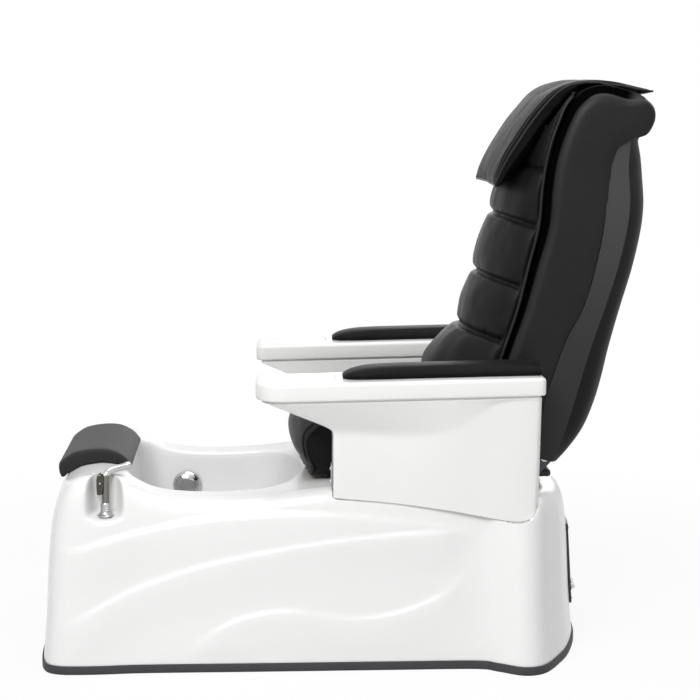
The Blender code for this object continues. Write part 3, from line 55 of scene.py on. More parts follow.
def curveAt(table, x):  # smooth curve through pairs, flat past the ends
    xs, ys = np.array(table, float).T
    slope = np.empty(len(xs))
    slope[1:-1] = (ys[2:] - ys[:-2]) / (xs[2:] - xs[:-2])
    slope[0] = (ys[1] - ys[0]) / (xs[1] - xs[0])
    slope[-1] = (ys[-1] - ys[-2]) / (xs[-1] - xs[-2])
    x = np.clip(np.asarray(x, float), xs[0], xs[-1])
    k = np.clip(np.searchsorted(xs, x, side="right") - 1, 0, len(xs) - 2)
    span = xs[k + 1] - xs[k]
    t = (x - xs[k]) / span
    return (ys[k] * (1 + 2 * t) * (1 - t) ** 2 + slope[k] * span * t * (1 - t) ** 2
            + ys[k + 1] * t * t * (3 - 2 * t) + slope[k + 1] * span * t * t * (t - 1))


def splineThrough(knots, steps, closed=False):  # Catmull-Rom points
    knots = np.array(knots, float)
    count = len(knots)
    rows = []
    for k in range(count if closed else count - 1):
        pick = [k - 1, k, k + 1, k + 2]
        pick = [i % count for i in pick] if closed else [min(max(i, 0), count - 1) for i in pick]
        a, b, c, d = knots[pick]
        for t in np.arange(steps) / steps:
            rows.append(b + 0.5 * t * (c - a + t * (2 * a - 5 * b + 4 * c - d + t * (3 * b - a - 3 * c + d))))
    if not closed:
        rows.append(knots[-1])
    return np.array(rows)


def smoothStep(low, high, x):
    t = np.clip((np.asarray(x, float) - low) / (high - low), 0.0, 1.0)
    return t * t * (3 - 2 * t)


def resampled(points, count, weight=None, closed=False):  # even steps, closer where weight is high
    points = np.array(points, float)
    line = np.vstack([points, points[:1]]) if closed else points
    step = np.linalg.norm(np.diff(line, axis=0), axis=1)
    if weight is not None:
        step = step * weight[:len(step)]
    along = np.concatenate([[0.0], np.cumsum(step)])
    spots = np.linspace(0.0, along[-1], count, endpoint=not closed)
    return np.stack([np.interp(spots, along, line[:, k]) for k in range(line.shape[1])], axis=1)


def roundedOutline(x0, x1, y0, y1, radii, steps):  # corners at x1y0, x1y1, x0y1, x0y0
    points = []
    for (x, y, first), r in zip(((x1, y0, -90), (x1, y1, 0), (x0, y1, 90), (x0, y0, 180)), radii):
        cx = x - r if x == x1 else x + r
        cy = y - r if y == y1 else y + r
        for k in range(steps + 1):
            a = math.radians(first + 90.0 * k / steps)
            points.append((cx + r * math.cos(a), cy + r * math.sin(a)))
    return np.array(points)


def outlineTurn(outline):  # positive where it runs counter-clockwise
    x, y = outline.T
    return np.sum(x * np.roll(y, -1) - np.roll(x, -1) * y)


def headings(outline):  # unit steps along a closed outline
    along = np.roll(outline, -1, axis=0) - np.roll(outline, 1, axis=0)
    return along / np.linalg.norm(along, axis=1)[:, None]


def movedIn(outline, distance):  # counter-clockwise outline pulled in along its normals
    along = headings(outline)
    return np.stack([outline[:, 0] - along[:, 1] * distance, outline[:, 1] + along[:, 0] * distance], axis=1)


def easedIn(outline, distance):  # larger inset, its points kept apart at corners
    line, steps = outline, 12
    for _ in range(steps):
        line = movedIn(line, distance / steps)
        for _ in range(3):
            along = headings(line)
            drift = 0.5 * (np.roll(line, -1, axis=0) + np.roll(line, 1, axis=0)) - line
            line = line + 0.5 * along * np.sum(drift * along, axis=1)[:, None]
    return line


def ringEased(line):  # each point drawn to its neighbours
    return 0.5 * line + 0.25 * (np.roll(line, 1, axis=0) + np.roll(line, -1, axis=0))


def atX(x, flat):  # a flat outline stood up at one place across
    return np.column_stack([np.full(len(flat), x), flat])


def sharesAcross(inner, count, ends):  # even in the middle, listed at both ends
    ends = np.array(ends)
    return np.concatenate([-ends[::-1], np.linspace(-inner, inner, count), ends])


def squared(value, power):  # a sine or cosine made fuller
    return math.copysign(abs(value) ** power, value)


def meshPiece(name, verts, faces, finish, sharp=40.0):
    mesh = bpy.data.meshes.new(name)
    mesh.from_pydata([tuple(v) for v in verts], [], [tuple(f) for f in faces])
    obj = bpy.data.objects.new(name, mesh)
    scene.collection.objects.link(obj)
    faceOut(obj)
    if finish is not None:
        mesh.materials.append(finish)
    return softEdges(obj, sharp)


def faceOut(obj):  # merge doubles, then point every face outwards
    shape = bmesh.new()
    shape.from_mesh(obj.data)
    bmesh.ops.remove_doubles(shape, verts=shape.verts, dist=1e-6)
    bmesh.ops.recalc_face_normals(shape, faces=shape.faces)
    shape.to_mesh(obj.data)
    shape.free()
    obj.data.update()


def softEdges(obj, sharp=40.0):
    obj.data.shade_smooth()
    if sharp < 180:
        obj.data.set_sharp_from_angle(angle=math.radians(sharp))
    return obj


def gridFaces(rows, cols, wrap=True):
    faces = []
    for r in range(rows - 1):
        for c in range(cols if wrap else cols - 1):
            d = (c + 1) % cols
            faces.append((r * cols + c, r * cols + d, (r + 1) * cols + d, (r + 1) * cols + c))
    return faces


def skinned(name, rings, finish, caps=(True, True), sharp=40.0):  # a skin over rings of points
    rings = np.array(rings, float)
    count, cols = rings.shape[:2]
    faces = gridFaces(count, cols)
    for wanted, base in zip(caps, (0, (count - 1) * cols)):
        if wanted:
            faces.append(tuple(range(base, base + cols)))
    return meshPiece(name, rings.reshape(-1, 3), faces, finish, sharp)


def plain(obj):  # modifiers applied
    bpy.context.view_layer.update()
    ready = obj.evaluated_get(bpy.context.evaluated_depsgraph_get())
    mesh = bpy.data.meshes.new_from_object(ready)
    old = obj.data
    obj.modifiers.clear()
    obj.data = mesh
    if old.users == 0:
        bpy.data.meshes.remove(old)
    mesh.name = obj.name
    return obj


def reshaped(obj, kind, **settings):  # one modifier, applied
    step = obj.modifiers.new(kind.lower(), kind)
    for key, value in settings.items():
        setattr(step, key, value)
    return plain(obj)


def solidified(obj, wall):
    return reshaped(obj, "SOLIDIFY", thickness=wall, offset=-1.0, use_even_offset=False)


def carved(obj, *tools):
    before = len(obj.data.polygons)
    for tool in tools:
        reshaped(obj, "BOOLEAN", operation="DIFFERENCE", solver="MANIFOLD", object=tool)
        bpy.data.objects.remove(tool, do_unlink=True)
    print("  carved", obj.name, before, "->", len(obj.data.polygons))


def boxTool(low, high, bent=None):  # bent takes the corners to another frame
    corners = [(x, y, z) for z in (low[2], high[2]) for x, y in
               ((low[0], low[1]), (high[0], low[1]), (high[0], high[1]), (low[0], high[1]))]
    faces = [(0, 3, 2, 1), (4, 5, 6, 7), (0, 1, 5, 4), (1, 2, 6, 5), (2, 3, 7, 6), (3, 0, 4, 7)]
    return meshPiece("tool", bent(corners) if bent else corners, faces, None)


def turned(name, profile, place, finish, steps):  # profile of radius and height about local Z
    rings = []
    for a in np.arange(steps) * 2 * math.pi / steps:
        rings.append([(r * math.cos(a), r * math.sin(a), h) for r, h in profile])
    rings = np.array(rings).transpose(1, 0, 2)
    rows, cols = rings.shape[:2]
    faces = gridFaces(rows, cols)
    for row in (0, rows - 1):
        if profile[0] != profile[-1] and profile[row][0] > 1e-6:  # an open end gets a cap
            faces.append(tuple(range(row * cols, row * cols + cols)))
    obj = meshPiece(name, rings.reshape(-1, 3), faces, finish, 35.0)
    obj.data.transform(place)
    return obj


def drillTool(radius, low, high, place, steps):
    return turned("tool", [(0.0, low), (radius, low), (radius, high), (0.0, high)], place, None, steps)


def swept(name, points, radius, finish, sides=16, sharp=60.0):  # round bar along a line
    points = np.array(points, float)
    radius = np.broadcast_to(np.asarray(radius, float), (len(points),))
    along = np.gradient(points, axis=0)
    along /= np.linalg.norm(along, axis=1)[:, None]
    side = np.cross(along[0], (0.0, 0.0, 1.0) if abs(along[0][2]) < 0.9 else (1.0, 0.0, 0.0))
    rings = []
    for p, t, r in zip(points, along, radius):
        side = side - t * np.dot(side, t)
        side /= np.linalg.norm(side)
        up = np.cross(t, side)
        turn = np.arange(sides) * 2 * math.pi / sides
        rings.append(p + r * (np.cos(turn)[:, None] * side + np.sin(turn)[:, None] * up))
    return skinned(name, rings, finish, sharp=sharp)


def joined(name, pieces):  # several meshes made one piece
    shape = bmesh.new()
    finishes = []
    for piece in pieces:
        first = len(shape.faces)
        shape.from_mesh(piece.data)
        shape.faces.ensure_lookup_table()
        for surface in piece.data.materials:
            if surface not in finishes:
                finishes.append(surface)
        slots = [finishes.index(surface) for surface in piece.data.materials]
        for face in shape.faces[first:]:
            face.material_index = slots[face.material_index]
    mesh = bpy.data.meshes.new(name)
    shape.to_mesh(mesh)
    shape.free()
    for surface in finishes:
        mesh.materials.append(surface)
    for piece in pieces:
        bpy.data.objects.remove(piece, do_unlink=True)
    obj = bpy.data.objects.new(name, mesh)
    scene.collection.objects.link(obj)
    return obj


def pointsOf(obj, what="co"):
    flat = np.empty(len(obj.data.vertices) * 3)
    obj.data.vertices.foreach_get(what, flat)
    return flat.reshape(-1, 3)


def normalsOf(obj):
    return pointsOf(obj, "normal")


def setPoints(obj, points):
    obj.data.vertices.foreach_set("co", np.asarray(points, np.float32).ravel())
    obj.data.update()


class NodeWork:  # a node tree and the ways to fill it
    def feed(self, socket, value):  # a node stands for its first output
        if isinstance(value, bpy.types.Node):
            value = value.outputs[0]
        if isinstance(value, Wire):
            value = value.socket
        if isinstance(value, bpy.types.NodeSocket):
            self.tree.links.new(value, socket)
        else:
            socket.default_value = value

    def node(self, kind, feeds=None, **settings):
        made = self.tree.nodes.new(kind)
        for key, value in settings.items():
            setattr(made, key, value)
        for key, value in (feeds or {}).items():
            self.feed(made.inputs[key], value)
        return made


class Wire:  # a shader socket that takes part in sums
    def __init__(self, finish, socket):
        self.finish, self.socket = finish, socket

    def sum(self, operation, first, second):
        made = self.finish.node("ShaderNodeMath", {0: first, 1: second}, operation=operation)
        return self.finish.wire(made)

    def __add__(self, other):
        return self.sum("ADD", self, other)

    def __radd__(self, other):
        return self.sum("ADD", other, self)

    def __sub__(self, other):
        return self.sum("SUBTRACT", self, other)

    def __rsub__(self, other):
        return self.sum("SUBTRACT", other, self)

    def __mul__(self, other):
        return self.sum("MULTIPLY", self, other)

    def __rmul__(self, other):
        return self.sum("MULTIPLY", other, self)

    def between(self, low, high):  # 0 at low, 1 at high
        made = self.finish.node("ShaderNodeMapRange", {"Value": self, "From Min": low, "From Max": high},
                                interpolation_type="SMOOTHSTEP")
        return self.finish.wire(made)


class Finish(NodeWork):  # one procedural material, or the world
    names = {"colour": "Base Color", "rough": "Roughness", "metal": "Metallic", "normal": "Normal",
             "coat": "Coat Weight", "coatRough": "Coat Roughness", "specular": "Specular IOR Level",
             "sheen": "Sheen Weight", "sheenRough": "Sheen Roughness"}

    def __init__(self, name, store=bpy.data.materials):
        self.owner = store.new(name)
        self.owner.use_nodes = True
        self.tree = self.owner.node_tree
        self.shader, self.exit = sorted(self.tree.nodes, key=lambda node: "Output" in node.bl_idname)
        self.place = self.wire(self.node("ShaderNodeTexCoord"), "Object")

    def wire(self, node, output=0):
        return Wire(self, node.outputs[output])

    def noise(self, scale, detail=3.0, rough=0.5, bend=0.0, stretch=None):
        place = self.place
        if stretch is not None:
            place = self.node("ShaderNodeMapping", {"Vector": place, "Scale": stretch})
        return self.wire(self.node("ShaderNodeTexNoise", {"Vector": place, "Scale": scale, "Detail": detail,
                                                          "Roughness": rough, "Distortion": bend}))

    def cells(self, scale):
        made = self.node("ShaderNodeTexVoronoi", {"Vector": self.place, "Scale": scale},
                         feature="DISTANCE_TO_EDGE")
        return self.wire(made, "Distance")

    def part(self, axis):
        return self.wire(self.node("ShaderNodeSeparateXYZ", {0: self.place}), axis)

    def mixed(self, share, first, second):
        ends = [c if isinstance(c, Wire) else (*c, 1.0) for c in (first, second)]
        return self.wire(self.node("ShaderNodeMix", {0: share, 6: ends[0], 7: ends[1]}, data_type="RGBA"), 2)

    def blended(self, share, first, second):  # two shaders to the output
        made = self.node("ShaderNodeMixShader", {0: share, 1: first, 2: second})
        self.feed(self.exit.inputs["Surface"], made)

    def seen(self):  # 1 where the camera, a mirror or clear stuff looks
        ray = self.node("ShaderNodeLightPath")
        total = self.wire(ray, "Is Camera Ray")
        for kind in ("Is Glossy Ray", "Is Transmission Ray"):
            total = total.sum("MAXIMUM", total, self.wire(ray, kind))
        return total

    def bump(self, height, strength, distance):
        return self.node("ShaderNodeBump", {"Height": height, "Strength": strength, "Distance": distance})

    def done(self, **values):
        for key, value in values.items():
            self.feed(self.shader.inputs[self.names[key]], value)
        return self.owner


def mouldedWhite(name, tone, rough, peel):
    f = Finish(name)
    cloud = f.noise(5.0, 3.0)
    fine = f.noise(130.0, 2.0)
    colour = f.mixed(cloud, [c * 0.985 for c in tone], tone)
    return f.done(colour=colour, rough=rough + 0.07 * cloud, specular=0.45,
                  normal=f.bump(fine, peel, 0.0004), coat=0.12, coatRough=0.12)


def grainedLeather(name, dark, light, rough, grain, scale, shine=0.10, shade=None):  # shade: an attribute of painted shade, mixed towards a near-black matte
    f = Finish(name)
    broad = f.noise(7.0, 4.0, 0.55)
    pores = f.cells(scale).between(0.0, 0.26)
    fine = f.noise(scale * 2.4, 3.0, 0.6)
    folds = f.noise(46.0, 3.0, 0.5, 0.6)
    height = pores * 0.62 + fine * 0.28 + folds * 0.5
    colour = f.mixed((broad * 0.7 + pores * 0.3).between(0.25, 0.8), dark, light)
    made = f.done(colour=colour, rough=(rough + 0.16) - 0.12 * pores - 0.10 * broad, specular=shine,
                  normal=f.bump(height, grain, 0.0007), sheen=0.01, sheenRough=0.4)
    if shade:
        # painted shade: where the attribute is high, the leather turns to a near-black matte
        deep = f.wire(f.node("ShaderNodeAttribute", attribute_name=shade), "Fac")
        matte = f.node("ShaderNodeBsdfDiffuse", {"Color": (0.0016, 0.0016, 0.0018, 1.0)})
        f.blended(deep, f.shader, matte)
    return made


def restFoam(name):  # grey top; end faces darker, painted shade standing in for the light falling from above
    f = Finish(name)
    broad = f.noise(9.0, 3.0)
    fine = f.noise(640.0, 3.0, 0.6)
    across = f.part("X")
    # painted shade: the end faces take a dark grey
    ends = across.sum("ABSOLUTE", across, 0.0).between(0.1665, 0.1685)
    top = f.mixed(broad, (0.062, 0.062, 0.061), (0.074, 0.074, 0.073))
    colour = f.mixed(ends, top, (0.020, 0.020, 0.0195))
    return f.done(colour=colour, rough=0.60 + 0.12 * broad, specular=0.18, normal=f.bump(fine, 0.22, 0.0005))


def satinPlastic(name, tone, rough, texture, scale=900.0, shine=0.45, fade=None):  # fade: heights of painted shade, darkest at the first, full tone at the second
    f = Finish(name)
    cloud = f.noise(8.0, 3.0)
    fine = f.noise(scale, 2.0, 0.6)
    share, low, high = cloud, 0.88, 1.1
    # painted shade: the colour darkens towards the bottom
    if fade:
        share, low, high = f.part("Z").between(*fade) + cloud * 0.10, 0.42, 1.0
    colour = f.mixed(share, [c * low for c in tone], [c * high for c in tone])
    return f.done(colour=colour, rough=rough + 0.10 * cloud, specular=shine,
                  normal=f.bump(fine, texture, 0.0003))


def rubberSkin(name, tone):
    f = Finish(name)
    cloud = f.noise(14.0, 4.0)
    fine = f.noise(700.0, 2.0)
    scuff = f.noise(60.0, 5.0, 0.6, 0.0, (0.25, 0.25, 1.0)).between(0.62, 0.74)
    colour = f.mixed((cloud * 0.7 + scuff * 0.5).between(0.2, 1.0), tone, [c * 1.7 for c in tone])
    return f.done(colour=colour, rough=0.62 + 0.12 * cloud, specular=0.35, normal=f.bump(fine, 0.25, 0.0004))


def platedMetal(name, tone, rough, brush=0.0):
    f = Finish(name)
    cloud = f.noise(22.0, 3.0)
    spots = f.noise(160.0, 2.0)
    stretched = f.noise(420.0, 2.0, 0.5, 0.0, (1.0, 0.06, 0.06)) if brush else spots
    colour = f.mixed(cloud, [c * 0.94 for c in tone], tone)
    return f.done(colour=colour, metal=1.0, rough=rough + 0.06 * cloud + brush * stretched,
                  normal=f.bump(stretched, 0.02 + brush * 0.3, 0.0002))


def paintedSteel(name, tone):
    f = Finish(name)
    cloud = f.noise(18.0, 3.0)
    peel = f.noise(340.0, 2.0)
    chips = f.noise(75.0, 4.0, 0.7).between(0.70, 0.76)
    colour = f.mixed(chips * 0.6, tone, (0.30, 0.29, 0.28))
    return f.done(colour=colour, rough=0.38 + 0.12 * cloud, specular=0.5, normal=f.bump(peel, 0.12, 0.0004))


def layeredBoard(name):
    f = Finish(name)
    plies = f.noise(260.0, 1.0, 0.4, 0.3, (0.03, 0.03, 1.0))
    grain = f.noise(95.0, 4.0, 0.6, 0.8, (1.0, 0.07, 1.0))
    share = (plies * 0.5 + grain * 0.6).between(0.3, 0.8)
    return f.done(colour=f.mixed(share, (0.30, 0.185, 0.09), (0.52, 0.36, 0.205)), rough=0.62 + 0.15 * grain,
                  normal=f.bump(grain, 0.2, 0.0005))


shellWhite = mouldedWhite("shellWhite", (0.830, 0.828, 0.820), rough=0.20, peel=0.035)
armWhite = mouldedWhite("armWhite", (0.830, 0.826, 0.815), rough=0.22, peel=0.035)
# a darker copy of the shell white: painted shade for the inside of the tub
basinWhite = mouldedWhite("basinWhite", (0.775, 0.775, 0.772), rough=0.16, peel=0.02)
blackLeather = grainedLeather("blackLeather", (0.0058, 0.0058, 0.0062), (0.0098, 0.0098, 0.0102),
                              rough=0.36, grain=0.30, scale=430.0)
# a darker copy of the black leather: painted shade on the pillow's lit front
pillowLeather = grainedLeather("pillowLeather", (0.0038, 0.0038, 0.0041), (0.0066, 0.0066, 0.0070),
                               rough=0.40, grain=0.28, scale=430.0, shine=0.045)
armLeather = grainedLeather("armLeather", (0.0056, 0.0056, 0.0060), (0.0094, 0.0094, 0.0098),
                            rough=0.42, grain=0.28, scale=430.0, shine=0.060)
sideLeather = grainedLeather("sideLeather", (0.0078, 0.0078, 0.0082), (0.0130, 0.0130, 0.0134),
                             rough=0.38, grain=0.22, scale=430.0, shine=0.18, shade="recessShade")
pipingLeather = grainedLeather("pipingLeather", (0.0050, 0.0050, 0.0054), (0.0085, 0.0085, 0.0090),
                               rough=0.36, grain=0.20, scale=620.0, shine=0.24)
greyFoam = restFoam("greyFoam")
shellGrey = satinPlastic("shellGrey", (0.0064, 0.0064, 0.0068), rough=0.52, texture=0.22, scale=620.0,
                         shine=0.07)
# the strip darkens towards the bottom: painted shade
stripGrey = satinPlastic("stripGrey", (0.056, 0.056, 0.057), rough=0.44, texture=0.18, scale=620.0,
                         shine=0.20, fade=(0.58, 1.16))
blackPlastic = satinPlastic("blackPlastic", (0.020, 0.020, 0.022), rough=0.42, texture=0.20, scale=800.0)
threadBlack = satinPlastic("threadBlack", (0.030, 0.030, 0.032), rough=0.60, texture=0.30, scale=2200.0)
switchRed = satinPlastic("switchRed", (0.42, 0.020, 0.018), rough=0.22, texture=0.03)
pipeWhite = satinPlastic("pipeWhite", (0.72, 0.72, 0.71), rough=0.36, texture=0.05)
trimRubber = rubberSkin("trimRubber", (0.040, 0.040, 0.043))
rollerRubber = rubberSkin("rollerRubber", (0.052, 0.052, 0.056))
chrome = platedMetal("chrome", (0.56, 0.56, 0.57), rough=0.07)
deepChrome = platedMetal("deepChrome", (0.210, 0.205, 0.185), rough=0.09)
smokeChrome = platedMetal("smokeChrome", (0.085, 0.083, 0.070), rough=0.12)
brightSteel = platedMetal("brightSteel", (0.60, 0.60, 0.61), rough=0.26, brush=0.12)
dullSteel = platedMetal("dullSteel", (0.36, 0.36, 0.37), rough=0.34, brush=0.14)
frameSteel = paintedSteel("frameSteel", (0.095, 0.095, 0.105))
plyBoard = layeredBoard("plyBoard")
print("finishes made")

slotOf = {part["node"]: part["material_slot"] for part in frame["record"]["subparts"]}
slotFinish = {"gloss_white": shellWhite, "basin_white": basinWhite, "trim_rubber": trimRubber,
              "roller_rubber": rollerRubber, "black_leather": blackLeather, "grey_leather": greyFoam,
              "shell_grey": shellGrey, "black_plastic": blackPlastic, "switch_red": switchRed,
              "chrome": chrome, "frame_steel": frameSteel, "bright_steel": brightSteel,
              "seat_board": plyBoard, "pipe_white": pipeWhite}


class Pattern(NodeWork):  # Geometry Nodes over a seed mesh, made plain at the end
    def __init__(self, name, inputs):
        self.name, self.inputs = name, inputs
        self.tree = bpy.data.node_groups.new(name + "Tree", "GeometryNodeTree")
        socket = self.tree.interface.new_socket
        socket("Geometry", in_out="INPUT", socket_type="NodeSocketGeometry")
        for label, value in inputs.items():
            socket(label, in_out="INPUT", socket_type="NodeSocketFloat").default_value = value
        socket("Geometry", in_out="OUTPUT", socket_type="NodeSocketGeometry")
        self.given = self.tree.nodes.new("NodeGroupInput").outputs

    def done(self, instances, finish, seed):
        real = self.node("GeometryNodeRealizeInstances", {"Geometry": instances})
        paint = self.node("GeometryNodeSetMaterial", {"Geometry": real, "Material": finish})
        self.node("NodeGroupOutput", {"Geometry": paint})
        obj = bpy.data.objects.new(self.name, seed)
        scene.collection.objects.link(obj)
        step = obj.modifiers.new("nodes", "NODES")
        step.node_group = self.tree
        for item in self.tree.interface.items_tree:
            if item.in_out == "INPUT" and item.name in self.inputs:
                step[item.identifier] = self.inputs[item.name]
        return plain(obj)


def lineMesh(lines):  # edges along lists of points
    verts, edges = [], []
    for line in lines:
        first = len(verts)
        verts += [tuple(p) for p in line]
        edges += [(first + k, first + k + 1) for k in range(len(line) - 1)]
    mesh = bpy.data.meshes.new("seed")
    mesh.from_pydata(verts, edges, [])
    return mesh


stitchLook = {"Pitch": 0.0062, "Length": 0.0023, "Thickness": 0.0006}


def stitches(name, lines, finish):
    p = Pattern(name, stitchLook)
    thick = p.given["Thickness"]
    curve = p.node("GeometryNodeMeshToCurve", {"Mesh": p.given["Geometry"]})
    spread = p.node("GeometryNodeResampleCurve", {"Curve": curve, "Length": p.given["Pitch"]}, mode="LENGTH")
    turn = p.node("FunctionNodeAlignRotationToVector", {"Vector": p.node("GeometryNodeInputTangent")},
                  axis="Z")
    ball = p.node("GeometryNodeMeshUVSphere", {"Segments": 6, "Rings": 4, "Radius": 1.0})
    sizes = p.node("ShaderNodeCombineXYZ", {"X": thick, "Y": thick, "Z": p.given["Length"]})
    thread = p.node("GeometryNodeTransform", {"Geometry": ball, "Scale": sizes})
    laid = p.node("GeometryNodeInstanceOnPoints", {"Points": spread, "Instance": thread, "Rotation": turn})
    return p.done(laid, finish, lineMesh(lines))


baseLook = {
    "front": -0.716, "rear": 0.553, "frontHalf": 0.362, "sideHalf": 0.356, "rearHalf": 0.4135, "bulge": 0.388,
    "endShoulder": 0.094, "sideShoulder": 0.054, "foot": 0.0061, "wall": 0.0042,
    "pinX": 0.110, "pinHole": 0.0066, "socketHole": 0.0130,
    "hatch": (0.095, 0.104, 0.259),  # half width, low, high
    "humpY": -0.572, "humpZ": 0.447, "rimZ": 0.394, "deckZ": 0.413, "tailZ": 0.384,
    "stations": 208, "rings": 82, "lipRadius": 0.010, "lipDrop": 0.0125,
    "nicheY": -0.553, "nicheHalf": 0.040, "nicheX": 0.284, "nicheFloor": 0.354,
    "rise": [(0, 0), (0.12, 0.30), (0.20, 0.66), (0.25, 0.79), (0.33, 0.90), (0.46, 0.955), (0.66, 0.985),
             (1, 1)],
    "waveLift": 0.0068, "waveBand": 0.0135, "waveFade": 0.120,
    "waves": [
        [(-0.659, 0.287), (-0.606, 0.289), (-0.544, 0.308), (-0.455, 0.329), (-0.367, 0.346), (-0.278, 0.356),
         (-0.189, 0.360), (-0.030, 0.358), (0.115, 0.345), (0.208, 0.333), (0.277, 0.323)],
        [(-0.662, 0.094), (-0.590, 0.141), (-0.501, 0.188), (-0.412, 0.222), (-0.323, 0.248), (-0.190, 0.276),
         (-0.030, 0.300), (0.115, 0.314), (0.207, 0.320), (0.276, 0.322)],
        [(-0.374, 0.035), (-0.347, 0.065), (-0.311, 0.094), (-0.257, 0.121), (-0.191, 0.136), (-0.132, 0.139),
         (-0.047, 0.127), (0.022, 0.122), (0.091, 0.130), (0.161, 0.152), (0.207, 0.176), (0.243, 0.209),
         (0.276, 0.234)]],
}
tubLook = {"bow": 0.042, "half": 0.235, "front": -0.510, "rear": -0.110, "corner": 0.055, "floor": 0.130,
           "wall": 0.0035, "drainY": -0.235, "jetY": -0.391, "jetZ": 0.312, "wellHalf": 0.190,
           "wellFront": -0.050, "wellRear": 0.446, "drainHole": 0.0213, "jetHole": 0.0252}
tubMiddle = np.array([0.0, (tubLook["front"] + tubLook["rear"]) / 2])
trimLook = {"height": 0.020, "proud": 0.0025, "lip": 0.012, "sole": 0.005}


def crest(y):
    b, t = baseLook, tubLook
    hump, deck = b["humpZ"] - b["rimZ"], b["deckZ"] - b["rimZ"]
    rim, top = b["rimZ"], b["humpY"]
    return curveAt([(b["front"], b["humpZ"] - 0.044), (top - 0.092, b["humpZ"] - 0.024),
                    (top - 0.070, b["humpZ"] - 0.0150), (top - 0.036, b["humpZ"] - 0.0045), (top, b["humpZ"]),
                    (top + 0.045, rim + 0.90 * hump), (top + 0.085, rim + 0.56 * hump),
                    (top + 0.125, rim + 0.24 * hump), (top + 0.185, rim + 0.05 * hump), (top + 0.280, rim),
                    (t["rear"] - 0.080, rim + 0.30 * deck), (t["rear"], rim + 0.75 * deck),
                    (t["wellFront"], b["deckZ"]), (t["wellRear"] - 0.100, b["deckZ"]),
                    (t["wellRear"] - 0.010, b["deckZ"] - 0.012), (b["rear"] - 0.070, b["tailZ"] + 0.004),
                    (b["rear"], b["tailZ"])], y)


def planHalf():  # floor x, y and top x, y from the front centre to the rear centre
    b = baseLook
    fh, sh, rh, f, r, bulge = b["frontHalf"], b["sideHalf"], b["rearHalf"], b["front"], b["rear"], b["bulge"]
    ft, rt, st, ss = f + b["endShoulder"], r - b["endShoulder"], sh - b["sideShoulder"], b["sideShoulder"]
    knots = [(0, f, 0, ft), (0.64 * fh, f + 0.008, 0.53 * fh, ft + 0.002),
             (0.895 * fh, f + 0.022, 0.70 * fh, ft + 0.006), (0.983 * fh, f + 0.052, 0.79 * fh, ft + 0.012),
             (fh, f + 0.100, fh - ss - 0.008, ft + 0.022),
             (fh - 0.001, -0.560, fh - ss, -0.556), (sh - 0.001, -0.460, st, -0.458),
             (sh, -0.200, st, -0.200), (sh, 0.100, st, 0.100), (sh + 0.002, 0.285, st + 0.002, 0.270),
             (sh + 0.024, bulge - 0.055, st + 0.012, bulge - 0.060), (rh, bulge, rh - 0.082, bulge - 0.030),
             (rh - 0.017, bulge + 0.048, rh - 0.100, bulge + 0.012),
             (rh - 0.092, r - 0.073, rh - 0.175, rt - 0.022), (0.59 * rh, r - 0.041, 0.42 * rh, rt - 0.008),
             (0.30 * rh, r - 0.011, 0.21 * rh, rt - 0.002), (0, r, 0, rt)]
    dense = splineThrough(knots, 50)
    near = (np.abs(dense[:, 1] - b["nicheY"]) < b["nicheHalf"] + 0.014) & (dense[:, 0] > 0.2)
    return resampled(dense, b["stations"], 1.0 + 2.6 * near)


def wholeRing(half):  # mirrored in X and closed
    other = half[-2:0:-1].copy()
    other[:, ::2] *= -1
    return np.vstack([half, other])


def waveRise(y, z):
    b = baseLook
    rise = np.zeros_like(y)
    for line in b["waves"]:
        first, last = line[0][0], line[-1][0]
        at = curveAt(line, y)
        slope = (curveAt(line, y + 0.004) - curveAt(line, y - 0.004)) / 0.008
        below = (at - z) / np.sqrt(1 + slope ** 2)
        ends = smoothStep(first - 0.015, first + 0.070, y) * (1 - smoothStep(last - 0.080, last + 0.012, y))
        band = b["waveBand"] / 2
        fade = 1 - smoothStep(band, b["waveFade"], below)
        rise += b["waveLift"] * ends * smoothStep(-band, band, below) * fade
    return rise * smoothStep(0.018, 0.060, z)


def baseRing(plan, share, level):
    b = baseLook
    x = plan[:, 0] + (plan[:, 2] - plan[:, 0]) * share
    y = plan[:, 1] + (plan[:, 3] - plan[:, 1]) * share
    setBack = curveAt([(0.5, 0.0), (0.79, 0.4), (0.90, 0.8), (0.955, 1.0), (1.0, 0.0)], level)
    y = y + 0.011 * setBack * smoothStep(-0.60, -0.69, plan[:, 1])
    z = b["foot"] + level * (crest(y) - b["foot"])
    x = x + np.sign(x) * waveRise(y, z) * smoothStep(0.25, 0.33, np.abs(x))
    k = armLook  # a ledge under the outer edge of each arm box
    under = (y > k["front"]) & (y < k["rear"] + 0.003) & (np.abs(x) > armOut(y, 0.0) - 0.006)
    z = np.where(under, np.minimum(z, armFoot(y) - 0.0030), z)
    return np.stack([x, y, z], axis=1)


def nichePressed(points):  # pushed in to the wall of the niche
    b = baseLook
    x, y, z = points.T
    low = np.clip((b["nicheFloor"] + 0.018 - z) / 0.018, 0.0, 1.0)
    off = np.abs(y - b["nicheY"]) / (b["nicheHalf"] - 0.018 * (1 - np.sqrt(1 - low ** 2)))
    limit = b["nicheX"] + 0.052 * np.clip(off, 0, 1.4) ** 4
    gap = x - limit
    pressed = x - 0.5 * (gap + np.sqrt(gap ** 2 + 0.006 ** 2)) + 0.0015
    depth = smoothStep(b["nicheFloor"] - 0.008, b["nicheFloor"] + 0.002, z)
    x = np.where((x > 0.2) & (off < 1.35), np.minimum(x, x + (pressed - x) * depth), x)
    return np.column_stack([x, y, z])


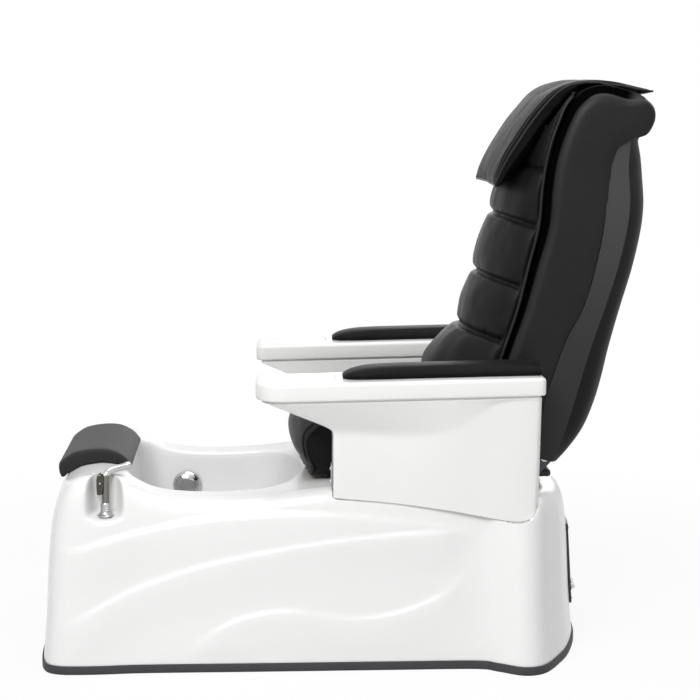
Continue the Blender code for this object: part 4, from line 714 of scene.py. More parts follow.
def nicheRounded(rings):  # edges of the niche eased
    b = baseLook
    grid = np.array(rings)
    x, y, z = np.moveaxis(grid, 2, 0)
    near = smoothStep(0.25, 0.27, x) * smoothStep(1.7, 1.3, np.abs(y - b["nicheY"]) / b["nicheHalf"])
    near = (near * smoothStep(b["nicheFloor"] - 0.034, b["nicheFloor"] - 0.018, z))[1:-1, :, None]
    for _ in range(7):
        beside = np.roll(grid, 1, 1) + np.roll(grid, -1, 1)
        mean = (grid[:-2] + grid[2:] + beside[1:-1]) / 4
        grid[1:-1] += 0.6 * near * (mean - grid[1:-1])
    return list(grid)


def tubEdge(angles, distance=0.0):  # basin outline along rays from its middle
    t = tubLook
    half, front, rear = t["half"] - distance, t["front"] + distance, t["rear"] - distance
    line = roundedOutline(-half, half, front, rear, [t["corner"] + 0.25 * distance] * 4, 24)
    line = resampled(line, 1600, closed=True)
    x, y = line.T
    line = np.column_stack([x, y + (0.006 - t["bow"] * (x / 0.19) ** 2) * smoothStep(-0.30, -0.13, y)])
    x, y = (line - tubMiddle).T
    turn = np.arctan2(y, x)
    reach = np.linalg.norm(line - tubMiddle, axis=1)
    order = np.argsort(turn)
    reach = np.interp(angles, turn[order], reach[order], period=2 * math.pi)
    return tubMiddle + np.stack([np.cos(angles), np.sin(angles)], axis=1) * reach[:, None]


def makeBaseShell():
    b, t = baseLook, tubLook
    plan = wholeRing(planHalf())
    path = splineThrough(b["rise"], 40)
    close = 1.0 + 3.0 * ((path[:, 1] > 0.762) & (path[:, 1] < 0.815))
    levels = resampled(path * (0.16, 0.42), b["rings"], close) / (0.16, 0.42)
    rings = [baseRing(plan, share, level) for share, level in levels]
    top = rings[-1]
    x, y = (top[:, :2] - tubMiddle).T
    turn = np.unwrap(np.arctan2(y, x))
    step = np.maximum(np.diff(np.append(turn, turn[0] + 2 * math.pi)), 0.006)
    for _ in range(12):
        step = ringEased(step)
    step *= 2 * math.pi / step.sum()
    edge = tubEdge(turn[0] + np.cumsum(step) - step)
    way = top[:, :2] - edge
    length = np.linalg.norm(way, axis=1)
    way = way / length[:, None]
    inner = [(b["lipRadius"] + (length - b["lipRadius"]) * share, 0.0)
             for share in (0.93, 0.84, 0.72, 0.58, 0.44, 0.30, 0.18, 0.08, 0.0)]
    for k in range(1, 7):
        a = math.radians(15 * k)
        inner.append((b["lipRadius"] * (1 - math.sin(a)) + 0 * length, b["lipRadius"] * (1 - math.cos(a))))
    inner.append((0 * length, b["lipDrop"]))
    for d, drop in inner:
        spot = edge + way * d[:, None]
        rings.append(np.column_stack([spot, crest(spot[:, 1]) - drop]))
    rings = nicheRounded([nichePressed(ring) for ring in rings])
    shell = skinned("baseShell", rings, shellWhite, (False, False), 50.0)
    solidified(shell, b["wall"])
    half, low, high = b["hatch"]
    tools = [boxTool((-t["wellHalf"], t["wellFront"], 0.36), (t["wellHalf"], t["wellRear"], 0.47)),
             boxTool((-half, b["rear"] - 0.10, low), (half, b["rear"] + 0.05, high))]
    for side in (1, -1):
        tools.append(armPocket(side))
        place = Matrix.Translation((side * b["pinX"], b["humpY"], b["humpZ"]))
        tools.append(drillTool(b["pinHole"], low=-0.05, high=0.03, place=place, steps=24))
    place = Matrix.Translation((b["nicheX"] + 0.024, b["nicheY"], b["nicheFloor"]))
    tools.append(drillTool(b["socketHole"], low=-0.03, high=0.03, place=place, steps=32))
    carved(shell, *tools)
    softEdges(shell, 45.0)
    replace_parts(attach(shell, "base"), "base_shell")


def makeTub():
    t, b = tubLook, baseLook
    angles = np.arange(220) * 2 * math.pi / 220
    path = splineThrough([(0.0003, 0.0), (0.0025, 0.06), (0.0085, 0.35), (0.0175, 0.75), (0.030, 0.925),
                          (0.056, 0.992), (0.085, 1.0)], 7)
    rim = crest(tubEdge(angles)[:, 1]) - b["lipDrop"] + 0.0012
    rings = []
    for distance, share in path:
        rings.append(np.column_stack([tubEdge(angles, distance), rim + (t["floor"] + 0.0015 - rim) * share]))
    drain = np.array([0.0, t["drainY"]])
    for share in (0.8, 0.6, 0.4, 0.2, 0.1):
        spot = drain + (rings[len(path) - 1][:, :2] - drain) * share
        rings.append(np.column_stack([spot, np.full(len(spot), t["floor"] + 0.0015 * share)]))
    tub = skinned("tubLiner", rings, basinWhite, (False, True), 50.0)
    inward = Vector((0.0, t["drainY"], 0.3)) - tub.data.polygons[0].center
    if tub.data.polygons[0].normal.dot(inward) < 0:
        tub.data.flip_normals()
    solidified(tub, t["wall"])
    drain = Matrix.Translation((0, t["drainY"], t["floor"]))
    jet = Matrix.Translation((-t["half"], t["jetY"], t["jetZ"])) @ Matrix.Rotation(math.pi / 2, 4, "Y")
    carved(tub, drillTool(t["drainHole"], low=-0.03, high=0.03, place=drain, steps=48),
           drillTool(t["jetHole"], low=-0.05, high=0.05, place=jet, steps=48))
    softEdges(tub, 50.0)
    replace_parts(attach(tub, "base"), "foot_basin")


def makeTrim():
    k = trimLook
    outline = wholeRing(planHalf()[:, :2])
    out, top = -k["proud"], k["height"]
    section = [(k["lip"], 0.0), (0.002, 0.0), (out + 0.0008, 0.0), (out, 0.0008), (out, 0.008),
               (out + 0.0002, 0.0165), (out + 0.0008, 0.0188), (out + 0.0017, top), (-0.0007, top),
               (-0.0006, top - 0.001), (-0.0006, k["sole"]), (k["lip"], k["sole"])]
    rings = np.array([np.column_stack([movedIn(outline, d), np.full(len(outline), z)]) for d, z in section])
    rows, cols = rings.shape[:2]
    last = (rows - 1) * cols
    faces = gridFaces(rows, cols)
    faces += [(last + c, last + (c + 1) % cols, (c + 1) % cols, c) for c in range(cols)]
    trim = meshPiece("floorTrim", rings.reshape(-1, 3), faces, trimRubber, 50.0)
    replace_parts(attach(trim, "base"), "floor_trim")


armLook = {"inner": 0.250, "front": -0.040, "rear": 0.421, "outFront": 0.338, "outRear": 0.372,
           "footFront": 0.396, "footRear": 0.345, "flareZ": 0.548, "nose": -0.200, "wall": 0.0036,
           "frontRound": 0.005, "rearRound": 0.012}
trayLook = {"inner": 0.2445, "outer": 0.415, "front": -0.213, "rear": 0.429, "frontZ": 0.6255,
            "rearZ": 0.6375, "thick": 0.040, "corner": 0.072, "edge": 0.009, "dish": 0.0032, "dishRim": 0.017}
armPadLook = {"front": -0.022, "height": 0.026, "half": 0.055, "shrink": 0.0015}


def trayLow(y):
    k = trayLook
    rise, run = k["rearZ"] - k["frontZ"], k["rear"] - k["front"]
    return k["frontZ"] + rise * (np.asarray(y, float) - k["front"]) / run


def armOut(y, high):
    k = armLook
    low = curveAt([(k["front"], k["outFront"]), (0.10, k["outFront"] + 0.004), (0.26, k["outRear"] - 0.018),
                   (0.36, k["outRear"] - 0.003), (k["rear"], k["outRear"])], y)
    full = trayLook["outer"] - k["outRear"]
    return low + high * curveAt([(k["front"], 0.006), (0.10, 0.010), (0.26, 0.034), (0.34, full - 0.008),
                                 (k["rear"], full - 0.010)], y)


def armFoot(y):
    a, z = armLook["footFront"], armLook["footRear"]
    return curveAt([(armLook["front"], a), (0.10, a - 0.013), (0.22, a - 0.029), (0.36, z),
                    (0.395, z + 0.003), (0.412, z + 0.018), (armLook["rear"], z + 0.050)], y)


def armWaist(y):
    z = armLook["flareZ"]
    high = float(trayLow(0.36)) - 0.012
    return curveAt([(armLook["front"], z + 0.004), (0.10, z - 0.005), (0.19, z), (0.24, z + 0.015),
                    (0.29, z + 0.05), (0.34, high), (0.40, high)], y)


def armOutline(front, rear, inner, out, frontRound, rearRound):  # out gives the outer face for y
    first, last = front + frontRound, rear - rearRound
    frontX, rearX = float(out(first)) - frontRound, float(out(last)) - rearRound

    def corner(x, y, r, angles):
        return [(x + r * math.cos(a), y + r * math.sin(a)) for a in np.radians(angles)]

    rows = [(x, front) for x in np.linspace(inner + 0.004, frontX, 9)]
    rows += corner(frontX, first, frontRound, np.linspace(-78, -12, 6))
    rows += [(float(out(y)), y) for y in np.linspace(first, last, 60)]
    rows += corner(rearX, last, rearRound, np.linspace(12, 78, 7))
    rows += [(x, rear) for x in np.linspace(rearX, inner + 0.004, 9)]
    rows.append((inner + 0.0012, rear - 0.0012))
    rows += [(inner, y) for y in np.linspace(rear - 0.004, front + 0.004, 30)]
    rows.append((inner + 0.0012, front + 0.0012))
    return np.array(rows)


def armRings(grow=0.0, top=None):
    k = armLook

    def upright(high):
        flat = armOutline(k["front"] - grow, k["rear"] + grow, k["inner"] - grow,
                          lambda y: armOut(y, high) + grow, k["frontRound"], k["rearRound"])
        y = np.clip(flat[:, 1], k["front"], k["rear"])
        foot = armFoot(y) - grow
        crown = armWaist(y) if top is None else np.full(len(y), top)
        return np.column_stack([flat, foot + (crown - foot) * high])

    if top is not None:
        return [upright(h) for h in np.linspace(0, 1, 12)]
    rings = [upright(h) for h in np.linspace(0.0, 1.0, 22)]
    flat = armOutline(k["nose"], k["rear"], k["inner"],
                      lambda y: np.full(np.shape(y), trayLook["outer"] - 0.007), 0.066, k["rearRound"])
    head = np.column_stack([flat, trayLow(flat[:, 1]) - 0.0065])
    waist = rings[-1]
    for f in np.linspace(0.0, 1.0, 16)[1:]:
        rings.append(waist + (head - waist) * f)
    rings = np.array(rings)
    for _ in range(2):  # soft turn at the waist
        for r in range(20, 24):
            rings[r] = 0.5 * rings[r] + 0.25 * (rings[r - 1] + rings[r + 1])
    shrunk = head.copy()
    shrunk[:, 2] += 0.0028
    shrunk[:, :2] = movedIn(head[:, :2], 0.0035)
    high = shrunk.copy()
    high[:, 2] = trayLow(flat[:, 1]) - 0.0004
    return list(rings) + [shrunk, high]


def armPocket(side):
    rings = np.array(armRings(0.0016, baseLook["deckZ"] + 0.03))
    rings[:, :, 0] *= side
    return skinned("tool", rings, None)


def makeArmBox(word, side):
    rings = np.array(armRings())
    rings[:, :, 0] *= side
    arm = skinned("armBox" + word, rings, armWhite, (False, True), 40.0)
    if arm.data.polygons[0].normal.y > 0.5:
        arm.data.flip_normals()
    solidified(arm, armLook["wall"])
    softEdges(arm, 40.0)
    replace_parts(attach(arm, "base"), "arm_box_" + word.lower())


def makeTray(word, side):
    k = trayLook
    plan = roundedOutline(k["inner"], k["outer"], k["front"], k["rear"],
                          [k["corner"], 0.012, 0.012, 0.018], 14)
    plan = resampled(plan, 260, closed=True)
    rows = [(0.005, 0.0004), (0.0022, 0.0006), (0.0006, 0.0022), (0.0, 0.005), (0.0, 0.018),
            (0.0, k["thick"] - k["edge"])]
    for a in np.radians([18, 36, 54, 72, 90]):
        rows.append((k["edge"] * (1 - math.cos(a)), k["thick"] - k["edge"] * (1 - math.sin(a))))
    rows.append((k["edge"] + 0.006, k["thick"]))

    def stacked(outline, steps, base):  # rings of the outline, each pulled in and up
        rings = []
        for distance, height in steps:
            x, y = movedIn(outline, distance).T
            rings.append(np.column_stack([x * side, y, trayLow(y) + base + height]))
        return rings

    tray = skinned("armTray" + word, stacked(plan, rows, 0.0), armWhite, sharp=50.0)
    rim, deep = k["dishRim"], k["dish"]
    dish = roundedOutline(k["inner"] + rim, k["outer"] - rim, k["front"] + rim, armPadLook["front"] - 0.012,
                          [k["corner"] - rim, 0.020, 0.020, 0.014], 12)
    dish = resampled(dish, 200, closed=True)
    steps = [(0.006, -deep), (0.0030, -deep + 0.0003), (0.0010, -deep + 0.0012), (0.0, -0.0016),
             (-0.0004, -0.0010), (-0.0012, -0.0004), (-0.0024, -0.0001), (-0.0040, 0.0002), (-0.0041, 0.006)]
    carved(tray, skinned("tool", stacked(dish, steps, k["thick"]), None))
    softEdges(tray, 50.0)
    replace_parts(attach(tray, "arm_" + word.lower()), "arm_tray_" + word.lower())


def evened(obj, rounds):  # ripples out, bulk kept
    edges = np.empty(len(obj.data.edges) * 2, dtype=np.int32)
    obj.data.edges.foreach_get("vertices", edges)
    first, second = edges[::2], edges[1::2]
    points = pointsOf(obj)
    count = np.bincount(edges, minlength=len(points))[:, None]
    size = len(points)
    for step in range(2 * rounds):
        total = np.stack([np.bincount(first, points[second, c], size)
                          + np.bincount(second, points[first, c], size) for c in range(3)], axis=1)
        points = points + (0.52 if step % 2 == 0 else -0.54) * (total / np.maximum(count, 1) - points)
    setPoints(obj, points)


clothLook = {"quality": 4, "mass": 0.25, "tension_stiffness": 18, "compression_stiffness": 12,
             "shear_stiffness": 10, "bending_stiffness": 4, "use_pressure": True}
clothFrames = 20


def puffed(obj, voxel, cap, pressure):  # short cloth run with inner pressure, motion capped
    reshaped(obj, "REMESH", mode="VOXEL", voxel_size=voxel, use_smooth_shade=True)
    evened(obj, 8)
    rest = pointsOf(obj)
    cloth = obj.modifiers.new("cloth", "CLOTH").settings
    for key, value in clothLook.items():
        setattr(cloth, key, value)
    cloth.uniform_pressure_force = pressure
    cloth.effector_weights.gravity = 0.0
    start = scene.frame_current
    for f in range(clothFrames):
        scene.frame_set(f + 1)
    plain(obj)
    scene.frame_set(start)
    moved = pointsOf(obj) - rest
    far = np.linalg.norm(moved, axis=1)
    scale = np.where(far > 1e-9, cap * np.tanh(far / cap) / np.maximum(far, 1e-9), 0.0)
    setPoints(obj, rest + moved * scale[:, None])
    evened(obj, 3)
    print("  puffed", obj.name, len(rest), "points, up to", round(float(far.max()) * 1000, 1), "mm")


def refined(obj):
    reshaped(obj, "SUBSURF", levels=1, render_levels=1)
    softEdges(obj, 180.0)


def onSurface(obj, line, lift):  # a line laid on a piece
    shape = bmesh.new()
    shape.from_mesh(obj.data)
    tree = BVHTree.FromBMesh(shape)
    shape.free()
    rows = []
    for p in line:
        spot, normal, _, _ = tree.find_nearest(Vector(p))
        rows.append(np.array(spot + normal * lift))
    rows = np.array(rows)
    for _ in range(3):
        rows[1:-1] = 0.5 * rows[1:-1] + 0.25 * (rows[:-2] + rows[2:])
    return rows


def creased(obj, deep, size, stretch, seed):  # broad soft folds
    points, normal = pointsOf(obj), normalsOf(obj)
    across, along, up = stretch
    spots = [Vector((x * across + seed, y * along, z * up)) / size for x, y, z in points]
    shift = np.array([noise.fractal(spot, 1.0, 2.0, 2, noise_basis="PERLIN_ORIGINAL") for spot in spots])
    setPoints(obj, points + normal * (deep * np.clip(shift, -1.2, 1.2))[:, None])


def grooved(obj, at, deep, wide, where):  # a seam sunk along both sides
    points, normal = pointsOf(obj), normalsOf(obj)
    groove = deep * np.exp(-((at - np.abs(points[:, 0])) / wide) ** 2) * where(points)
    setPoints(obj, points - normal * groove[:, None])


def sewn(name, body, obj, lines, radius, lift):  # piping along lines on a piece
    cords = [swept("cord", onSurface(obj, line, lift), radius, pipingLeather, 10, sharp=180.0)
             for line in lines]
    piping = softEdges(joined(name, cords), 180.0)
    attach(piping, body)


def seamStitches(name, body, obj, lines):
    thread = stitches(name, [onSurface(obj, line, 0.0002) for line in lines], threadBlack)
    softEdges(thread, 180.0)
    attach(thread, body)


def armPadRings(side):
    k, t = armPadLook, trayLook
    middle, rear = (t["inner"] + t["outer"]) / 2, t["rear"] - 0.002
    half, height = k["half"] - k["shrink"], k["height"] - k["shrink"]
    rows = [(0.0, 0.45, 0.22), (0.025, 0.72, 0.52), (0.07, 0.90, 0.78), (0.16, 1.0, 0.95), (0.40, 1.0, 1.0),
            (0.70, 1.0, 1.0), (0.95, 1.0, 1.0), (0.99, 0.98, 0.95), (1.0, 0.95, 0.85)]
    wideAt = [(s, w) for s, w, _ in rows]
    highAt = [(s, h) for s, _, h in rows]
    shares = [np.linspace(0, 0.10, 14)[:-1], np.linspace(0.10, 0.95, 40)[:-1], np.linspace(0.95, 1, 10)]
    rings = []
    for share in np.concatenate(shares):
        wide, high = float(curveAt(wideAt, share)), float(curveAt(highAt, share))
        y = k["front"] + (rear - k["front"]) * share
        z = float(trayLow(y)) + t["thick"] + 0.0003
        ring = []
        for a in np.linspace(0, math.pi, 29):
            x = half * wide * squared(math.cos(a), 0.75)
            rise = height * high * (0.12 + 0.88 * max(math.sin(a), 0.0) ** 0.7)
            ring.append((side * (middle + x), y, z + rise))
        for x in np.linspace(-0.96, 0.96, 9):
            ring.append((side * (middle + half * wide * x), y, z))
        rings.append(ring)
    return rings


def makeArmPad(word, side):
    pad = skinned("armPad" + word, armPadRings(side), armLeather, sharp=180.0)
    puffed(pad, voxel=0.005, cap=0.004, pressure=3.0)
    points = pointsOf(pad)
    low = trayLow(points[:, 1]) + trayLook["thick"] + 0.0003
    points[:, 2] = np.maximum(points[:, 2], low)
    points[:, 1] = np.clip(points[:, 1], None, trayLook["rear"] - 0.0005)
    setPoints(pad, points)
    refined(pad)
    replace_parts(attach(pad, "arm_" + word.lower()), "arm_pad_" + word.lower())


restLook = {
    "half": 0.172, "gap": 0.0022,
    "top": [(-0.6665, 0.412), (-0.6715, 0.428), (-0.6700, 0.4475), (-0.6480, 0.4660), (-0.6255, 0.4755),
            (-0.5830, 0.4810), (-0.5490, 0.4775), (-0.5200, 0.4620), (-0.5045, 0.4430), (-0.5000, 0.4325)],
    "under": [-0.5040, -0.518, -0.535, -0.560, -0.585, -0.610, -0.632, -0.648, -0.660],
}


def shellTop(y):  # top of the base on its middle line
    b = baseLook
    share = np.clip((np.asarray(y, float) - 0.009 - b["front"]) / b["endShoulder"], 0.25, 1.0)
    return b["foot"] + (crest(y) - b["foot"]) * curveAt(b["rise"][2:], share)


def makeFootRest():
    k = restLook
    under = [(y, float(shellTop(y)) + k["gap"]) for y in k["under"]]
    outline = resampled(splineThrough(k["top"] + under, 10, True), 110, closed=True)
    shares = sharesAcross(0.945, 44, (0.968, 0.982, 0.992, 0.998, 1.0))
    pullAt = [(0, 0.0), (0.945, 0.0), (0.968, 0.0010), (0.982, 0.0030), (0.992, 0.0060), (1.0, 0.0110)]
    pulls = curveAt(pullAt, np.abs(shares))
    rings = []
    for share, pull in zip(shares, pulls):
        flat = movedIn(outline, -pull if outlineTurn(outline) < 0 else pull)
        flat[:, 1] = np.maximum(flat[:, 1], shellTop(flat[:, 0]) + k["gap"])
        rings.append(atX(k["half"] * share, flat))
    rest = skinned("footRest", rings, greyFoam, sharp=180.0)
    puffed(rest, voxel=0.0045, cap=0.0025, pressure=1.5)
    points = pointsOf(rest)
    points[:, 2] = np.maximum(points[:, 2], shellTop(points[:, 1]) + 0.0020)
    setPoints(rest, points)
    refined(rest)
    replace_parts(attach(rest, "footrest"), "footrest_pad")


seatLook = {"half": 0.224, "front": -0.137, "rear": 0.350, "foot": 0.422, "top": 0.574, "widest": 0.2265,
            "panGap": 0.0004}


def seatRing(share):
    k = seatLook
    reach = abs(share)
    back, drop = 0.040 * reach ** 2, 0.016 * reach ** 2
    top, nose, foot = k["top"] - drop, k["front"] + back, k["foot"]
    pinch = float(curveAt([(0, 0), (0.88, 0), (0.95, 0.0018), (0.985, 0.0065), (1.0, 0.013)], reach))
    knots = [(k["rear"] - 0.004, foot), (0.16, foot), (k["front"] + 0.046, foot - 0.0006),
             (nose + 0.024, foot + 0.010), (nose + 0.008, foot + 0.034), (nose, foot + 0.066),
             (nose + 0.001, foot + 0.092), (nose + 0.016, top - 0.030), (nose + 0.050, top - 0.010),
             (nose + 0.110, top - 0.002), (0.12, top + 0.002), (0.24, top - 0.004),
             (k["rear"] - 0.020, top - 0.014), (k["rear"], top - 0.050), (k["rear"], foot + 0.030)]
    line = resampled(splineThrough(knots, 8, True), 110, closed=True)
    y, z = line.T
    y = y + np.where(y < 0, pinch * smoothStep(0.0, -0.08, y), -0.5 * pinch * smoothStep(0.28, 0.34, y))
    z = np.maximum(z - pinch * smoothStep(foot + 0.06, foot + 0.11, z), foot - 0.0006)
    return atX(k["half"] * share, np.column_stack([y, z]))


def seatSeams(share, first, last):  # both side seams, over the nose and along the top
    lines = []
    for ring in (seatRing(share), seatRing(-share)):
        start = int(np.argmin(ring[:, 1] + ring[:, 2] * 0.5))
        lines.append(ring[start + first:start + last])
    return lines


def makeSeat():
    k = seatLook
    shares = sharesAcross(0.88, 38, (0.92, 0.95, 0.975, 0.99, 0.998, 1.0))
    seat = skinned("seatCushion", [seatRing(share) for share in shares], blackLeather, sharp=180.0)
    puffed(seat, voxel=0.006, cap=0.006, pressure=2.5)
    points = pointsOf(seat)
    points[:, 2] = np.maximum(points[:, 2], k["foot"] - 0.0006)
    points[:, 0] = np.clip(points[:, 0], -k["widest"], k["widest"])
    setPoints(seat, points)
    refined(seat)
    creased(seat, deep=0.0014, size=0.105, stretch=(1.0, 1.4, 1.0), seed=3.0)
    grooved(seat, at=k["half"] * 0.90, deep=0.0032, wide=0.0038,
            where=lambda points: smoothStep(0.45, 0.47, points[:, 2]))
    sewn("seatPiping", "seat", seat, seatSeams(0.957, -6, 44), radius=0.0030, lift=0.0008)
    seamStitches("seatStitches", "seat", seat, seatSeams(0.925, -4, 42))
    low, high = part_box("seat_pan")
    gap = k["panGap"]
    carved(seat, boxTool((low.x - gap, low.y - gap, 0.40), (high.x + gap, high.y + 0.04, high.z + gap)))
    softEdges(seat, 60.0)
    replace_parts(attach(seat, "seat"), "seat_cushion")


backLook = {"pivotY": 0.460, "pivotZ": 0.455, "lean": math.radians(16.0), "half": 0.235, "wall": 0.040,
            "top": 0.866, "bridge": 0.790, "shellTop": 0.764, "shellWall": 0.004, "edgeRound": 0.021,
            "recess": 0.026, "recessAt": 0.204}
leanCos, leanSin = math.cos(backLook["lean"]), math.sin(backLook["lean"])
edgeLine = [(0.05, -0.165), (0.20, -0.165), (0.32, -0.161), (0.42, -0.165), (0.52, -0.1695), (0.60, -0.186),
            (0.68, -0.1955), (0.765, -0.192), (0.82, -0.178), (0.845, -0.163)]
borderLine = [(0.0, -0.018), (0.06, -0.036), (0.126, -0.0470), (0.20, -0.0455), (0.286, -0.040),
              (0.354, -0.0255), (0.41, -0.0220), (0.474, -0.0244), (0.548, -0.0312), (0.614, -0.0451),
              (0.67, -0.058), (0.71, -0.0625), (0.764, -0.052)]
creaseLine = [(0.0, 0.012), (0.055, 0.0195), (0.154, 0.0215), (0.275, 0.0215), (0.397, 0.0267),
              (0.4875, 0.0272), (0.574, 0.0206), (0.63, 0.0088), (0.70, -0.016), (0.764, -0.030)]
rearLine = [(0.0, 0.046), (0.027, 0.066), (0.081, 0.090), (0.142, 0.099), (0.204, 0.0995), (0.289, 0.094),
            (0.388, 0.0915), (0.475, 0.0917), (0.566, 0.0855), (0.629, 0.0736), (0.683, 0.054), (0.73, 0.034),
            (0.764, 0.014)]

def fromBack(points):  # x, w to the rear and u up along the back, to the frame of the whole
    x, w, u = np.moveaxis(np.asarray(points, float), -1, 0)
    y = backLook["pivotY"] + w * leanCos + u * leanSin
    return np.stack([x, y, backLook["pivotZ"] + u * leanCos - w * leanSin], axis=-1)


def toBack(points):
    x, y, z = np.moveaxis(np.asarray(points, float), -1, 0)
    y, z = y - backLook["pivotY"], z - backLook["pivotZ"]
    return np.stack([x, y * leanCos - z * leanSin, y * leanSin + z * leanCos], axis=-1)


def coverOutline():
    k = backLook
    levels = np.linspace(0.155, k["top"] - 0.063, 40)
    front = [*zip(curveAt(edgeLine, levels), levels), (-0.158, k["top"] - 0.024), (-0.120, k["top"] - 0.004)]
    t, s = k["top"], k["shellTop"]
    roof = [(-0.065, t), (-0.034, t - 0.001), (-0.010, t - 0.010), (0.005, t - 0.025), (0.0115, t - 0.044),
            (0.0110, t - 0.064), (0.005, s + 0.020), (-0.006, s + 0.0105), (-0.0225, s),
            (-0.0370, s - 0.0110)]
    levels = np.linspace(0.736, 0.030, 36)
    border = curveAt(borderLine, levels) + 0.0018 + 0.0060 * smoothStep(0.54, 0.68, levels)
    rear = np.column_stack([border, levels])
    foot = [(-0.040, 0.005), (-0.150, 0.140)]
    bend = splineThrough(front[-3:] + roof, 6)
    line = resampled(np.vstack([front[:-3], bend, rear, foot]), 360, closed=True)
    if outlineTurn(line) < 0:
        line = line[::-1]
    for _ in range(6):  # corners of the foot eased
        line = np.where(line[:, 1:] < 0.20, ringEased(line), line)
    return line


def makeCover():
    k = backLook
    line = coverOutline()
    w, u = line.T
    ahead = np.where(u > 0.30, smoothStep(0.008, -0.075, w), smoothStep(-0.09, -0.13, w))
    ahead = ahead * np.where(w > -0.10, smoothStep(0.780, 0.815, u), 1.0)  # front edge and roof
    behind = smoothStep(0.10, 0.14, u) * (w > -0.07) * (1 - smoothStep(0.770, 0.800, u))
    narrow = 0.28 + 0.32 * smoothStep(0.20, 0.62, u)  # the recess closes towards the seat
    r = k["edgeRound"]
    rows = [(x, 0.0, 0.0) for x in np.linspace(0.0, k["recessAt"], 7)]  # place across, recess, rounding
    rows += [(k["recessAt"] + 0.006 * share, k["recess"] * share, 0.0) for share in (0.25, 0.5, 0.75, 1.0)]
    rows += [(k["half"] - r + r * math.sin(a), k["recess"], r * (1 - math.cos(a)))
             for a in np.radians(np.linspace(0, 90, 9))]
    rows.append((k["half"] + 0.0003, k["recess"], r + 0.008))
    stations = [(-x, a, d) for x, a, d in reversed(rows[1:])] + rows
    rings = []
    for x, deep, d in stations:
        flat = easedIn(line, deep * narrow * ahead + d * (0.35 + 0.65 * ahead) * (1 - 0.90 * behind))
        rings.append(fromBack(atX(x, flat)))
    cover = skinned("backCover", rings, sideLeather, sharp=55.0)
    inner = k["half"] - k["wall"]
    carved(cover, boxTool((-inner, -0.4, -0.2), (inner, 0.3, k["bridge"]), fromBack))
    puffed(cover, voxel=0.005, cap=0.0022, pressure=0.9)
    local = toBack(pointsOf(cover))
    local[:, 0] = np.clip(local[:, 0], -k["half"] - 0.0040, k["half"] + 0.0040)
    setPoints(cover, fromBack(local))
    x, w, u = local.T
    x = np.abs(x)
    # painted shade: a mask over the recess beside the pad and along the roof, where the leather is darkened
    beside = smoothStep(0.198, 0.203, x) * (1 - smoothStep(k["half"] - 0.62 * r, k["half"] - 0.36 * r, x))
    onRoof = smoothStep(0.79, 0.81, u) * (1 - smoothStep(-0.066, -0.032, w))
    beside = beside * np.maximum(1 - smoothStep(-0.100, -0.085, w), onRoof)
    shade = cover.data.attributes.new("recessShade", "FLOAT", "POINT")
    shade.data.foreach_set("value", beside.astype(np.float32))
    softEdges(cover, 180.0)
    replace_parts(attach(cover, "back"), "back_cover")


def makeBackShell():
    k = backLook
    rings = []
    for u in np.linspace(0.0, k["shellTop"], 96):
        border = float(curveAt(borderLine, u)) + 0.0009
        crease = max(float(curveAt(creaseLine, u)), border + 0.006)
        rear = max(float(curveAt(rearLine, u)), crease + 0.02)
        depth = rear - crease
        half = [(k["half"] - 0.004 - 0.006 * s, border + (crease - border) * s) for s in np.linspace(0, 1, 5)]
        knots = [(k["half"] - 0.010, crease), (0.185, crease + 0.50 * depth), (0.130, crease + 0.80 * depth),
                 (0.065, crease + 0.955 * depth), (0.0, rear), (-0.065, crease + 0.955 * depth)]
        half += [tuple(p) for p in splineThrough(knots, 9)[1:37]]
        ring = half + [(-x, w) for x, w in reversed(half[:-1])]
        rings.append([(x, w, u) for x, w in ring])
    top = np.array(rings[-1])
    rise = curveAt([(-0.052, 0.0034), (-0.026, 0.0062), (-0.006, 0.0088), (0.004, 0.0120)], top[:, 1])
    top[:, 2] = k["shellTop"] + rise
    top[:, 2] += 0.0020 + 0.0070 * smoothStep(0.190, 0.232, np.abs(top[:, 0]))
    rings = fromBack(np.array(rings + [top]))
    rows, cols = rings.shape[:2]
    shell = meshPiece("backShell", rings.reshape(-1, 3), gridFaces(rows, cols, False), shellGrey, 24.0)
    shell.data.materials.append(stripGrey)
    for face in shell.data.polygons:  # lighter band between the leather and the crease
        face.material_index = 1 if abs(face.center.x) > k["half"] - 0.0098 else 0
    if shell.data.polygons[len(shell.data.polygons) // 2].normal.y < 0:
        shell.data.flip_normals()
    solidified(shell, k["shellWall"])
    softEdges(shell, 24.0)
    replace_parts(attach(shell, "back"), "back_shell")


padLook = {
    "half": 0.220, "clear": 0.131, "seams": (0.2372, 0.368, 0.5124, 0.640), "piping": 0.0036,
    "fullness": 0.0045, "pleatPitch": 0.019, "pleatReach": (0.010, 0.030), "pleatDeep": (0.0004, 0.0021),
    "pleatWide": (0.0030, 0.0060),
    "crown": [(0.03, -0.300), (0.07, -0.313), (0.115, -0.314), (0.17, -0.293), (0.225, -0.268),
              (0.262, -0.263), (0.30, -0.2645), (0.345, -0.262), (0.43, -0.263), (0.48, -0.262),
              (0.54, -0.2625), (0.58, -0.259), (0.62, -0.250), (0.66, -0.236), (0.70, -0.221),
              (0.75, -0.201), (0.80, -0.182), (0.83, -0.169)],
    "ends": [(0.0, 0.55), (0.012, 0.76), (0.03, 0.92), (0.06, 1.0), (0.79, 1.0), (0.815, 0.88), (0.828, 0.62),
             (0.834, 0.35)],
}


def padLevel(w, u):  # the lower end lifted clear of the seat
    floor = (padLook["clear"] + leanSin * w) / leanCos
    return np.maximum(u, floor + 0.75 * u)


